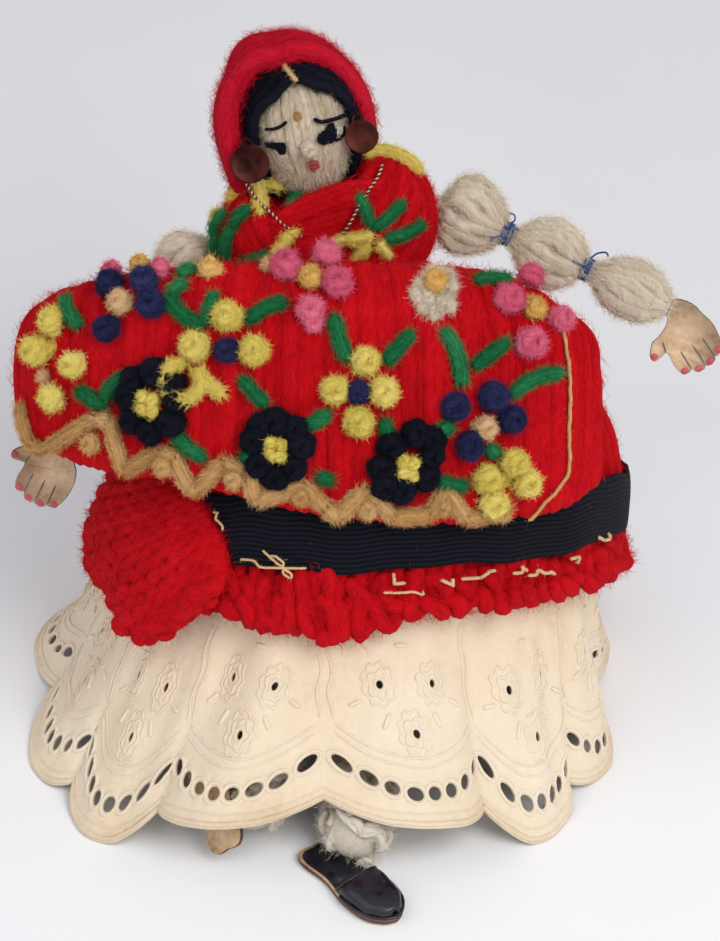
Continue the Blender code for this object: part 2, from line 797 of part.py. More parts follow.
def make_shawl(upper, wire_bore, head):
    """Two thick bundles of yarn that cross over the core, pressed in where the head rests on them."""
    room = cutter(loft("core_room", core_rings(GAP, OVERRUN), red_wool(), upper))
    swing = HAIR_THICKNESS + SCARF_THICKNESS + HEAD_CLEARANCE
    rings = ellipsoid_rings(head_middle(), head_half(swing), 10, 20)
    head_room = cutter(loft("head_room", rings, red_wool(), head))
    low, high = (NECK_X, 0, CORE_TOP - OVERRUN), (NECK_X, 0, CORE_TOP + 2 * NECK_LENGTH)
    neck_room = cutter(rod("neck_room", low, high, NECK_RADIUS + GAP, red_wool(), upper, 12))
    for name, middle, half in (
        ("shawl_left", SHAWL_LEFT_MIDDLE, SHAWL_LEFT_HALF),
        ("shawl_right", SHAWL_RIGHT_MIDDLE, SHAWL_RIGHT_HALF),
    ):
        bundle = loft(name, ellipsoid_rings(middle, half, 8, 16), red_wool(), upper)
        carve(bundle, wire_bore)
        carve(bundle, room)
        carve(bundle, head_room)
        carve(bundle, neck_room)


def shawl_surface(place):
    """A point and the outward direction on the front of the shawl, from its x and z."""
    x, z = place
    if x < (SHAWL_LEFT_MIDDLE.x + SHAWL_LEFT_HALF.x + SHAWL_RIGHT_MIDDLE.x - SHAWL_RIGHT_HALF.x) / 2:
        middle, half = SHAWL_LEFT_MIDDLE, SHAWL_LEFT_HALF
    else:
        middle, half = SHAWL_RIGHT_MIDDLE, SHAWL_RIGHT_HALF
    return ellipsoid_front(middle, half, x, z)


def ellipsoid_front(middle, half, x, z):
    across = (x - middle.x) / half.x
    up = (z - middle.z) / half.z
    size = math.hypot(across, up)
    if size > SHAWL_RIM_SHARE:
        across, up = across * SHAWL_RIM_SHARE / size, up * SHAWL_RIM_SHARE / size
    ahead = -math.sqrt(1 - across * across - up * up)
    point = middle + Vector((half.x * across, half.y * ahead, half.z * up))
    return point, Vector((across / half.x, ahead / half.y, up / half.z)).normalized()


def shawl_place(pixel):
    x = (pixel[0] - MIDDLE_COLUMN) * PIXEL
    height = (WAIST_ROW - pixel[1]) * PIXEL
    tilt = VIEW_ELEVATION - LEAN
    z = height
    for _ in range(4):
        z = (height - shawl_surface((x, z))[0].y * math.sin(tilt)) / math.cos(tilt)
    return x, z


# Head

HEAD_SIDES = 18
HEAD_ROWS = 10


def head_middle():
    return Vector((0.0, -HEAD_FORWARD, 2 * GAP + HEAD_HALF_HEIGHT * HEAD_CUT_SHARE))


def head_half(outward=0.0):
    return Vector((HEAD_HALF_WIDTH + outward, HEAD_HALF_DEPTH + outward, HEAD_HALF_HEIGHT + outward))


def make_neck(upper):
    """The neck bundle on the core's top. It nods on the core, and the head turns on it."""
    neck = empty("neck_frame", Matrix.Translation((NECK_X, 0.0, CORE_TOP + GAP)), upper)
    bore = WIRE_RADIUS + WIRE_CLEARANCE
    heights = (0.0, NECK_LENGTH / 2, NECK_LENGTH)
    outer = [circle_ring((0, 0, z), NECK_RADIUS, 12) for z in heights]
    inner = [circle_ring((0, 0, z), bore, 12) for z in heights]
    double_loft("neck", outer, inner, cream_wool(), neck)
    rod("neck_wire", (0, 0, GAP), (0, 0, NECK_LENGTH + NECK_PIN_REACH), WIRE_RADIUS, steel_wire(), neck)
    turn = Matrix.Translation((0.0, 0.0, NECK_LENGTH)) @ Matrix.Rotation(HEAD_ROLL, 4, "Y")
    return empty("head_frame", turn, neck)


def make_head_ball(head):
    middle, half = head_middle(), head_half()
    rings = ellipsoid_rings(middle, half, HEAD_ROWS, HEAD_SIDES)
    bore = WIRE_RADIUS + WIRE_CLEARANCE
    spread = NECK_PIN_REACH * abs(math.sin(HEAD_ROLL))
    low = middle.z - half.z * HEAD_CUT_SHARE
    rings.append(circle_ring((0, 0, low), bore + spread / 2, HEAD_SIDES))
    rings.append(circle_ring((0, 0, NECK_PIN_REACH + 2 * GAP), bore + spread, HEAD_SIDES))
    return loft("head_ball", rings, skin_wool(), head)


def bowl(name, inner_half, outer_half, middle, starts, rows, sides, finish, parent):
    """A thick shell round the head, open in front. Starts are the opening's half angles at top, side, bottom."""
    top, side, bottom = starts

    def rim(turn):
        toward_top = math.cos(turn)
        if toward_top > 0:
            return side + (top - side) * toward_top**2
        return side + (bottom - side) * toward_top**2

    def ring(half, share):
        points = []
        for n in range(sides):
            turn = math.tau * n / sides
            first = rim(turn)
            polar = first + (math.radians(172) - first) * share
            out = math.sin(polar)
            points.append(middle + Vector((
                half.x * out * math.sin(turn), -half.y * math.cos(polar), half.z * out * math.cos(turn)
            )))
        return points

    shares = [row / (rows - 1) for row in range(rows)]
    rings = [ring(inner_half, share) for share in reversed(shares)]
    rings += [ring(outer_half, share) for share in shares]
    return loft(name, rings, finish, parent)


HAIR_STARTS = (math.radians(36), math.radians(62), math.radians(122))
SCARF_STARTS = (math.radians(53), math.radians(67), math.radians(126))


def make_hair(head):
    inner = 2 * GAP
    outer = inner + HAIR_THICKNESS
    bowl("hair", head_half(inner), head_half(outer), head_middle(), HAIR_STARTS, 6, 22, dark_wool(), head)
    inner = outer + 2 * GAP
    outer = inner + SCARF_THICKNESS
    bowl("headscarf", head_half(inner), head_half(outer), head_middle(), SCARF_STARTS, 6, 24, red_wool(), head)


def head_place(pixel):
    """Where the front view shows a pixel on the head, as x and z of the head's own frame."""
    neck_top = Vector((NECK_X, 0.0, CORE_TOP + GAP + NECK_LENGTH))
    tilt = VIEW_ELEVATION - LEAN
    x = (pixel[0] - MIDDLE_COLUMN) * PIXEL - neck_top.x
    z = (WAIST_ROW - pixel[1]) * PIXEL + HEAD_HALF_DEPTH * math.sin(tilt) - neck_top.z
    turned = Matrix.Rotation(-HEAD_ROLL, 3, "Y") @ Vector((x, 0.0, z))
    return turned.x, turned.z


def face_surface(place):
    return ellipsoid_front(head_middle(), head_half(), *place)


def hair_surface(place):
    return ellipsoid_front(head_middle(), head_half(2 * GAP + HAIR_THICKNESS), *place)


FACE_STITCH_WIDTH = 0.8 * MM
FACE_STITCH_HEIGHT = 0.5 * MM
LEFT_EYE_PIXELS = ((270, 145), (289, 148))
RIGHT_EYE_PIXELS = ((321, 136), (337, 134))
MOUTH_PIXELS = ((309, 168), (320, 165))
NOSE_PIXEL = (309, 148)
PARTING_PIXELS = ((288, 76), (295, 86))


def make_face(head):
    narrow, low = FACE_STITCH_WIDTH, FACE_STITCH_HEIGHT
    for name, pixels, surface, width, finish in (
        ("eye_left", LEFT_EYE_PIXELS, face_surface, narrow, dark_wool()),
        ("eye_right", RIGHT_EYE_PIXELS, face_surface, 2 * EYE_RADIUS, dark_wool()),
        ("mouth_stitch", MOUTH_PIXELS, face_surface, 2 * narrow, pink_wool()),
        ("parting_stitch", PARTING_PIXELS, hair_surface, narrow, cream_wool()),
    ):
        pair = [head_place(pixel) for pixel in pixels]
        one_stitch(name, pair, surface, width, low, finish, head)
    point, normal = face_surface(head_place(NOSE_PIXEL))
    points, faces = knot_body(Vector((0, 0, 0)), normal)
    scale = NOSE_RADIUS / KNOT_RADIUS
    points = [point + normal * GAP + (p - normal * KNOT_SEAT) * scale for p in points]
    merge_bodies("nose_knot", [(points, faces)], cream_wool(), head)


def make_earring(head, side, sign):
    """A sequin that hangs by its top from a small hook in the hair."""
    place = head_middle() + Vector((sign * EARRING_PLACE.x, EARRING_PLACE.y, EARRING_PLACE.z))
    hang = Vector((0, 0, EARRING_RADIUS - EARRING_HOLE_INSET))
    pivot = empty("earring_frame_" + side, Matrix.Translation(place + hang), head)
    half = Vector((0, EARRING_THICKNESS / 2, 0))
    disc = rod_body(-hang - half, -hang + half, EARRING_RADIUS, 16)
    hook = rod_body((0, 0, 0), half + Vector((0, EARRING_HOOK_LENGTH, 0)), WIRE_RADIUS * 0.8, 6)
    joined("earring_" + side, [disc, hook], copper(), pivot)



# Arms

SLEEVE_SIDES = 10
# Along each puff: place, then the share of its half height and depth. Both ends are drawn in by the ties.
SLEEVE_SHAPE_SHARES = (
    ((0.0, 0.0), (0.07, 0.35), (0.16, 0.84), (0.34, 1.0), (0.56, 0.84), (0.78, 0.42), (0.88, 0.0), (1.0, 0.0)),
    ((0.0, 0.0), (0.08, 0.2), (0.22, 0.7), (0.45, 1.0), (0.68, 0.82), (0.83, 0.36), (0.90, 0.0), (1.0, 0.0)),
    ((0.0, 0.0), (0.08, 0.2), (0.25, 0.74), (0.5, 1.0), (0.75, 0.86), (0.92, 0.4), (1.0, 0.12)),
)
TIE_SIDES = 12
TIE_THREAD_SIDES = 5
TIE_INSET = 1.35 * MM


def make_sleeve(name, frame, number, length):
    """One hollow yarn puff along its frame's X axis."""
    bore = WIRE_RADIUS + WIRE_CLEARANCE
    outer, inner = [], []
    run = length - 2 * SLEEVE_END_GAP
    for along, full in SLEEVE_SHAPE_SHARES[number]:
        x = SLEEVE_END_GAP + run * along
        half_height = SLEEVE_NECK_RADIUS + (SLEEVE_HALF_HEIGHTS[number] - SLEEVE_NECK_RADIUS) * full
        half_depth = SLEEVE_NECK_RADIUS + (SLEEVE_HALF_DEPTHS[number] - SLEEVE_NECK_RADIUS) * full
        for rings, high, deep in ((outer, half_height, half_depth), (inner, bore, bore)):
            angles = [math.tau * n / SLEEVE_SIDES for n in range(SLEEVE_SIDES)]
            rings.append([Vector((x, deep * math.cos(a), high * math.sin(a))) for a in angles])
    double_loft(name, outer, inner, cream_wool(), frame)


def make_tie(name, frame, x):
    """A thread tied round a sleeve's neck."""
    ring_radius = SLEEVE_NECK_RADIUS + TIE_THREAD_RADIUS + GAP / 2
    points, faces = [], []
    for n in range(TIE_SIDES):
        angle = math.tau * n / TIE_SIDES
        out = Vector((0, math.cos(angle), math.sin(angle)))
        for m in range(TIE_THREAD_SIDES):
            round_angle = math.tau * m / TIE_THREAD_SIDES
            radius = ring_radius + TIE_THREAD_RADIUS * math.cos(round_angle)
            points.append(out * radius + Vector((x + TIE_THREAD_RADIUS * math.sin(round_angle), 0, 0)))
            a = n * TIE_THREAD_SIDES + m
            b = n * TIE_THREAD_SIDES + (m + 1) % TIE_THREAD_SIDES
            ahead = ((n + 1) % TIE_SIDES) * TIE_THREAD_SIDES
            faces.append((a, b, ahead + b % TIE_THREAD_SIDES, ahead + m))
    mesh_object(name, points, faces, blue_thread(), frame)


# The hand's outline from the wrist round the fingertips, as shares of its length and width.
HAND_OUTLINE_SHARES = (
    (0.0, -0.13), (0.16, -0.34), (0.42, -0.62), (0.55, -0.60), (0.52, -0.38), (0.60, -0.40), (0.86, -0.36),
    (0.96, -0.22), (1.0, 0.0), (0.97, 0.2), (0.86, 0.36), (0.60, 0.42), (0.30, 0.36), (0.0, 0.13),
)
HAND_WIDTH = 12.0 * MM
# The palm has turned fully to its tilt at this share of the hand's length.
PALM_SHARE = 0.3


def make_hand(name, frame, side_sign, tilt):
    """A flat card hand. It starts just past the end of the wire that holds it."""
    points = []
    for y in (-HAND_THICKNESS / 2, HAND_THICKNESS / 2):
        for along, across in HAND_OUTLINE_SHARES:
            turn = Matrix.Rotation(tilt * min(along / PALM_SHARE, 1.0), 3, "Y")
            place = Vector((HAND_LENGTH * along, y, HAND_WIDTH * across * side_sign))
            points.append(turn @ place + Vector((GAP, 0, 0)))
    count = len(HAND_OUTLINE_SHARES)
    faces = [tuple(range(count)), tuple(range(count, 2 * count))]
    faces += [(k, (k + 1) % count, count + (k + 1) % count, count + k) for k in range(count)]
    mesh_object(name, points, faces, card(), frame)


def make_arm(upper, side, shoulder, direction, hand_tilt, thumb_sign):
    """Shoulder, elbow and wrist frames in a chain, each turning at a thread tie."""
    back = (0.0, 1.0, 0.0)
    frame = empty("shoulder_frame_" + side, frame_along(shoulder, shoulder + direction, back), upper)
    first, second, third = SLEEVE_LENGTHS
    make_sleeve("upper_sleeve_" + side, frame, 0, first)
    make_tie("elbow_tie_" + side, frame, first - TIE_INSET)
    make_arm_wire("upper_arm_wire_" + side, frame, first)
    frame = empty("elbow_frame_" + side, Matrix.Translation((first, 0, 0)), frame)
    make_sleeve("middle_sleeve_" + side, frame, 1, second)
    make_tie("forearm_tie_" + side, frame, second - TIE_INSET)
    outer = empty("forearm_frame_" + side, Matrix.Translation((second, 0, 0)), frame)
    make_sleeve("lower_sleeve_" + side, outer, 2, third)
    make_arm_wire("forearm_wire_" + side, frame, second + third)
    wrist = empty("wrist_frame_" + side, Matrix.Translation((third, 0, 0)), outer)
    make_hand("hand_" + side, wrist, thumb_sign, hand_tilt)


def make_arm_wire(name, frame, length):
    """The part of the bending wire between two joints. It stops short of both."""
    short = GAP
    rod(name, (short, 0, 0), (length - short, 0, 0), WIRE_RADIUS, steel_wire(), frame, 6)


# Legs

LEG_SIDES = 10
KNEE_AWAY = 8.0 * MM
LEG_ROUTES = {
    "right": (
        Vector((4.6 * MM, -4.2 * MM, 45.2 * MM)), Vector((7.0 * MM, -16.0 * MM, 31.0 * MM)),
        Vector((KNEE_AWAY, -29.0 * MM, 19.0 * MM)), Vector((7.0 * MM, -42.0 * MM, 8.4 * MM)),
        Vector((5.0 * MM, -56.0 * MM, 5.4 * MM)),
    ),
    "left": (
        Vector((-4.6 * MM, -4.2 * MM, 45.2 * MM)), Vector((-7.0 * MM, -14.0 * MM, 31.0 * MM)),
        Vector((-KNEE_AWAY, -25.0 * MM, 19.0 * MM)), Vector((-11.2 * MM, -38.2 * MM, 9.6 * MM)),
        Vector((-14.0 * MM, -49.8 * MM, 6.6 * MM)),
    ),
}
LEG_RADIUS_SHARES = (0.55, 0.9, 1.0, 0.98, 0.92, 0.86, 0.84, 0.84, 0.6)
LEG_RINGS = 9


def make_leg(side):
    route = LEG_ROUTES[side]
    path = smooth_path(route, LEG_RINGS)
    path = [p - route[0] for p in path]
    radii = [(THIGH_RADIUS * share, THIGH_RADIUS * share) for share in LEG_RADIUS_SHARES]
    bore = WIRE_RADIUS + WIRE_CLEARANCE
    frame = empty("hip_frame_" + side, Matrix.Translation(route[0]))
    outer = tube_along(path, radii, LEG_SIDES, (1, 0, 0))
    inner = tube_along(path, [(bore, bore)] * LEG_RINGS, LEG_SIDES, (1, 0, 0))
    double_loft("leg_" + side, outer, inner, cream_wool(), frame)
    wire_path = [path[0].lerp(path[1], 0.3)] + path[1:-1] + [path[-1].lerp(path[-2], 0.3)]
    wire = tube_along(wire_path, [(WIRE_RADIUS, WIRE_RADIUS)] * LEG_RINGS, 6, (1, 0, 0))
    loft("leg_wire_" + side, wire, steel_wire(), frame)
    return frame


SHOE_OUTLINE_SHARES = (
    (0.0, 0.30), (0.10, 0.44), (0.35, 0.40), (0.62, 0.5), (0.84, 0.44), (0.96, 0.22),
)
UPPER_START_SHARE = 0.52


def shoe_outline(first=0.0, shrink=1.0):
    """The sole's outline from the heel along one side to the toe and back along the other."""
    side = [(a, w) for a, w in SHOE_OUTLINE_SHARES if a >= first]
    if first > 0:
        side = [(first, 0.46)] + side
    points = [(SHOE_LENGTH * a, -SHOE_WIDTH * w * shrink) for a, w in side]
    points.append((SHOE_LENGTH, 0.0))
    points += [(SHOE_LENGTH * a, SHOE_WIDTH * w * shrink) for a, w in reversed(side)]
    return points


def outline_solid(name, levels, finish, frame):
    rings = [[Vector((x, y, z)) for x, y in outline] for outline, z in levels]
    return loft(name, rings, finish, frame, 30)


def make_shoe(side, frame_matrix, parent):
    """Sole and upper in the shoe's frame: X runs from heel to toe and Z out of the sole."""
    frame = empty("ankle_frame_" + side, frame_matrix, parent)
    sole = shoe_outline()
    outline_solid("sole_" + side, ((sole, 0.0), (sole, SOLE_THICKNESS)), card(), frame)
    low = SOLE_THICKNESS + GAP
    levels = (
        (shoe_outline(UPPER_START_SHARE, 0.94), low),
        (shoe_outline(UPPER_START_SHARE, 0.90), low + SHOE_UPPER_HEIGHT * 0.55),
        (shoe_outline(UPPER_START_SHARE, 0.55), low + SHOE_UPPER_HEIGHT),
    )
    outline_solid("shoe_upper_" + side, levels, patent_black(), frame)


RIGHT_HEEL = Vector((-2.2 * MM, -49.5 * MM, GAP))
RIGHT_FOOT_YAW = math.radians(-52)
LEFT_HEEL = Vector((-17.5 * MM, -54.5 * MM, 5.0 * MM))
LEFT_FOOT_ALONG = Vector((-0.25, 0.8, 0.55))
LEFT_SOLE_FACES = Vector((-0.59, -0.74, 0.33))


def right_foot_matrix():
    return Matrix.Translation(RIGHT_HEEL) @ Matrix.Rotation(RIGHT_FOOT_YAW, 4, "Z")


def left_foot_matrix():
    """The left foot lies on its side, with its sole to the front."""
    x_axis = LEFT_FOOT_ALONG.normalized()
    z_axis = -(LEFT_SOLE_FACES - x_axis * LEFT_SOLE_FACES.dot(x_axis)).normalized()
    y_axis = z_axis.cross(x_axis)
    return Matrix.Translation(LEFT_HEEL) @ Matrix((x_axis, y_axis, z_axis)).transposed().to_4x4()


def make_legs():
    for side, matrix in (("right", right_foot_matrix()), ("left", left_foot_matrix())):
        hip = make_leg(side)
        make_shoe(side, Matrix.Translation(-LEG_ROUTES[side][0]) @ matrix, hip)


# Necklace

NECKLACE_PIXELS = (
    (382, 172), (380, 178), (377, 185), (370, 195), (360, 212), (350, 230), (340, 243), (330, 252),
    (318, 254), (308, 246), (296, 236), (284, 229), (272, 217), (262, 208), (252, 193), (246, 180),
)
# How far forward it hangs where it crosses the dip between the shawl's bundles.
NECKLACE_FRONT_SHARE = 0.85
NECKLACE_SAMPLES = 44


def necklace_path():
    """A chain that lies over the shawl and its stitches."""
    lift = 2 * GAP + NECKLACE_RADIUS
    points = []
    for pixel in NECKLACE_PIXELS:
        point, normal = shawl_surface(shawl_place(pixel))
        point = point + normal * lift
        point.y = min(point.y, -SHAWL_LEFT_HALF.y * NECKLACE_FRONT_SHARE)
        points.append(point)
    return smooth_path(points, NECKLACE_SAMPLES)


def make_necklace(upper):
    curve = bpy.data.curves.new("necklace", "CURVE")
    curve.dimensions = "3D"
    curve.bevel_depth = NECKLACE_RADIUS
    curve.bevel_resolution = 1
    curve.use_fill_caps = True
    path = necklace_path()
    spline = curve.splines.new("POLY")
    spline.points.add(len(path) - 1)
    for point, place in zip(spline.points, path):
        point.co = (*place, 1.0)
    curve.materials.append(copper())
    made = bpy.data.objects.new("necklace", curve)
    bpy.context.scene.collection.objects.link(made)
    made.parent = upper


RIGHT_ARM_DIRECTION = Vector((40.9, -1.5, -18.2))
LEFT_ARM_DIRECTION = Vector((-27.4, 3.0, -37.0))
RIGHT_HAND_TILT = math.radians(35)
LEFT_HAND_TILT = math.radians(-8)


def stand_on_origin():
    """Moves the whole doll so that the origin lies on the floor under the middle of its box."""
    bpy.context.view_layer.update()
    view = bpy.context.evaluated_depsgraph_get()
    low = Vector((math.inf,) * 3)
    high = -low
    for made in bpy.context.scene.objects:
        if made.type != "MESH" or made.hide_render:
            continue
        for corner in made.evaluated_get(view).data.vertices:
            place = made.matrix_world @ corner.co
            low = Vector(map(min, low, place))
            high = Vector(map(max, high, place))
    middle = Vector(((low.x + high.x) / 2, (low.y + high.y) / 2, low.z))
    whole = empty("doll_frame", Matrix.Translation(-middle))
    for made in bpy.context.scene.objects:
        if made.parent is None and made != whole:
            made.parent = whole


def main():
    clear_scene()
    upper = empty("upper_frame", UPPER_FRAME)
    make_skirt()
    make_ribbon()
    make_frill()
    make_petticoat()
    make_apron(upper)
    make_embroidery(upper)
    wire_bore = make_core(upper)
    head = make_neck(upper)
    make_shawl(upper, wire_bore, head)
    make_head_ball(head)
    make_hair(head)
    make_face(head)
    make_earring(head, "right", 1)
    make_earring(head, "left", -1)
    make_arm(upper, "right", SHOULDER_RIGHT, RIGHT_ARM_DIRECTION, RIGHT_HAND_TILT, 1)
    make_arm(upper, "left", SHOULDER_LEFT, LEFT_ARM_DIRECTION, LEFT_HAND_TILT, 1)
    make_legs()
    make_necklace(upper)
    stand_on_origin()


main()
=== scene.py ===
import json
import math

import bpy
import bmesh
import numpy as np
from mathutils import Matrix, Vector
from mathutils.geometry import delaunay_2d_cdt

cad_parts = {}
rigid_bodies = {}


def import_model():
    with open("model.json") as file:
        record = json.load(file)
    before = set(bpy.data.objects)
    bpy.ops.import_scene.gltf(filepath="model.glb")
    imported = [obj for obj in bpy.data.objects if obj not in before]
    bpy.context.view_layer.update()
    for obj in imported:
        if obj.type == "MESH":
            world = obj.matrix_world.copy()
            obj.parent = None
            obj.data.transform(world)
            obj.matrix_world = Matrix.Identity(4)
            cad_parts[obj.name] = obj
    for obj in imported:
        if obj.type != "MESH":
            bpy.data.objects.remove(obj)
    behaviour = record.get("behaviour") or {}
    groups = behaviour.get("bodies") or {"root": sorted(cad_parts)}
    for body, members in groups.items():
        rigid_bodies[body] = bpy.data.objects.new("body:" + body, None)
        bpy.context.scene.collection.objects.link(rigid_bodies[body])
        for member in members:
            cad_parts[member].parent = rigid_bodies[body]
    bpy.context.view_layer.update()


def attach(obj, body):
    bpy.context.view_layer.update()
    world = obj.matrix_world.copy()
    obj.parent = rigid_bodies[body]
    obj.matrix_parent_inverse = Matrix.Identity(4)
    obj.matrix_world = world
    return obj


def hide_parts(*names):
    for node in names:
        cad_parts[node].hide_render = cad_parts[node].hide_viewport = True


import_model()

# Lengths are in millimetres in the doll's own layout, where the waist's axis is x = 0 and the floor z = 0.
# Every piece is moved by SHIFT and scaled to metres when its mesh is made.
SHIFT = np.array((-7.3998, 10.0182, 0.0))
GAP = 0.35
WAIST = Vector((0.0, 10.0, 70.5))
LEAN = math.radians(30)
UPPER = Matrix.Translation(WAIST) @ Matrix.Rotation(-LEAN, 4, "X")

rng = np.random.default_rng(11)


# Shape helpers


def unit(rows):
    rows = np.asarray(rows, float)
    return rows / np.maximum(np.linalg.norm(rows, axis=-1, keepdims=True), 1e-9)


def rows_of(points):
    return np.array([tuple(p) for p in points], float)


def moved(matrix, points):
    """Points of a frame as rows of the doll's layout."""
    m = np.array(matrix)
    return np.asarray(points, float) @ m[:3, :3].T + m[:3, 3]


def turned(matrix, rows):
    return np.asarray(rows, float) @ np.array(matrix)[:3, :3].T


def eased(before, here, there, after, t):
    """A smooth step from here to there, with slopes that follow the values before and after."""
    slope_here, slope_there = (there - before) / 2, (after - here) / 2
    return (
        here * (2 * t**3 - 3 * t**2 + 1)
        + slope_here * (t**3 - 2 * t**2 + t)
        + there * (3 * t**2 - 2 * t**3)
        + slope_there * (t**3 - t**2)
    )


def smooth_rows(points, count):
    """Rows on a smooth curve through the given ones, evenly spread in parameter."""
    points = rows_of(points)
    place = np.linspace(0, len(points) - 1, count)
    k = np.minimum(place.astype(int), len(points) - 2)
    before, after = points[np.maximum(k - 1, 0)], points[np.minimum(k + 2, len(points) - 1)]
    return eased(before, points[k], points[k + 1], after, (place - k)[:, None])


def run_along(points):
    """How far along a polyline each of its points lies."""
    return np.concatenate(([0.0], np.cumsum(np.linalg.norm(np.diff(points, axis=0), axis=1))))


def read_rows(at, places, rows):
    """Rows read from a table between its places."""
    return np.stack([np.interp(at, places, rows[:, axis]) for axis in range(rows.shape[1])], 1)


def ring_faces(rings, sides, closed=False):
    """Faces between rings of points that follow one another."""
    faces = []
    for ring in range(rings if closed else rings - 1):
        a, b = ring * sides, ((ring + 1) % rings) * sides
        faces += [(a + k, a + (k + 1) % sides, b + (k + 1) % sides, b + k) for k in range(sides)]
    return faces


def even_rows(points, step):
    """The same polyline with points a fixed step apart."""
    points = np.asarray(points, float)
    run = run_along(points)
    count = max(int(round(run[-1] / step)) + 1, 4)
    return read_rows(np.linspace(0, run[-1], count), run, points)


def smooth_path(points, count, step):
    """An even polyline along a smooth curve through a few points."""
    return even_rows(smooth_rows(points, count), step)


def blend_table(values, share):
    """A smooth curve through evenly spaced values, read at a share from 0 to 1."""
    place = min(max(share, 0.0), 1.0) * (len(values) - 1)
    k = min(int(place), len(values) - 2)
    return eased(values[max(k - 1, 0)], values[k], values[k + 1], values[min(k + 2, len(values) - 1)], place - k)


def frame_along(start, end, side_hint):
    """A matrix at start whose X axis points at end and whose Y axis is near side_hint."""
    x_axis = (Vector(end) - Vector(start)).normalized()
    z_axis = x_axis.cross(Vector(side_hint)).normalized()
    y_axis = z_axis.cross(x_axis)
    return Matrix.Translation(Vector(start)) @ Matrix((x_axis, y_axis, z_axis)).transposed().to_4x4()


def path_frames(path, normals=None):
    """Directions along, outward and across at each point of a path."""
    ahead = unit(np.gradient(path, axis=0))
    if normals is None:
        normals = np.empty_like(path)
        hint = np.eye(3)[np.argmin(np.abs(ahead[0]))]
        for k in range(len(path)):
            hint = hint - ahead[k] * hint.dot(ahead[k])
            hint = hint / max(np.linalg.norm(hint), 1e-9)
            normals[k] = hint
    out = unit(normals - ahead * (normals * ahead).sum(1, keepdims=True))
    return ahead, out, np.cross(ahead, out)


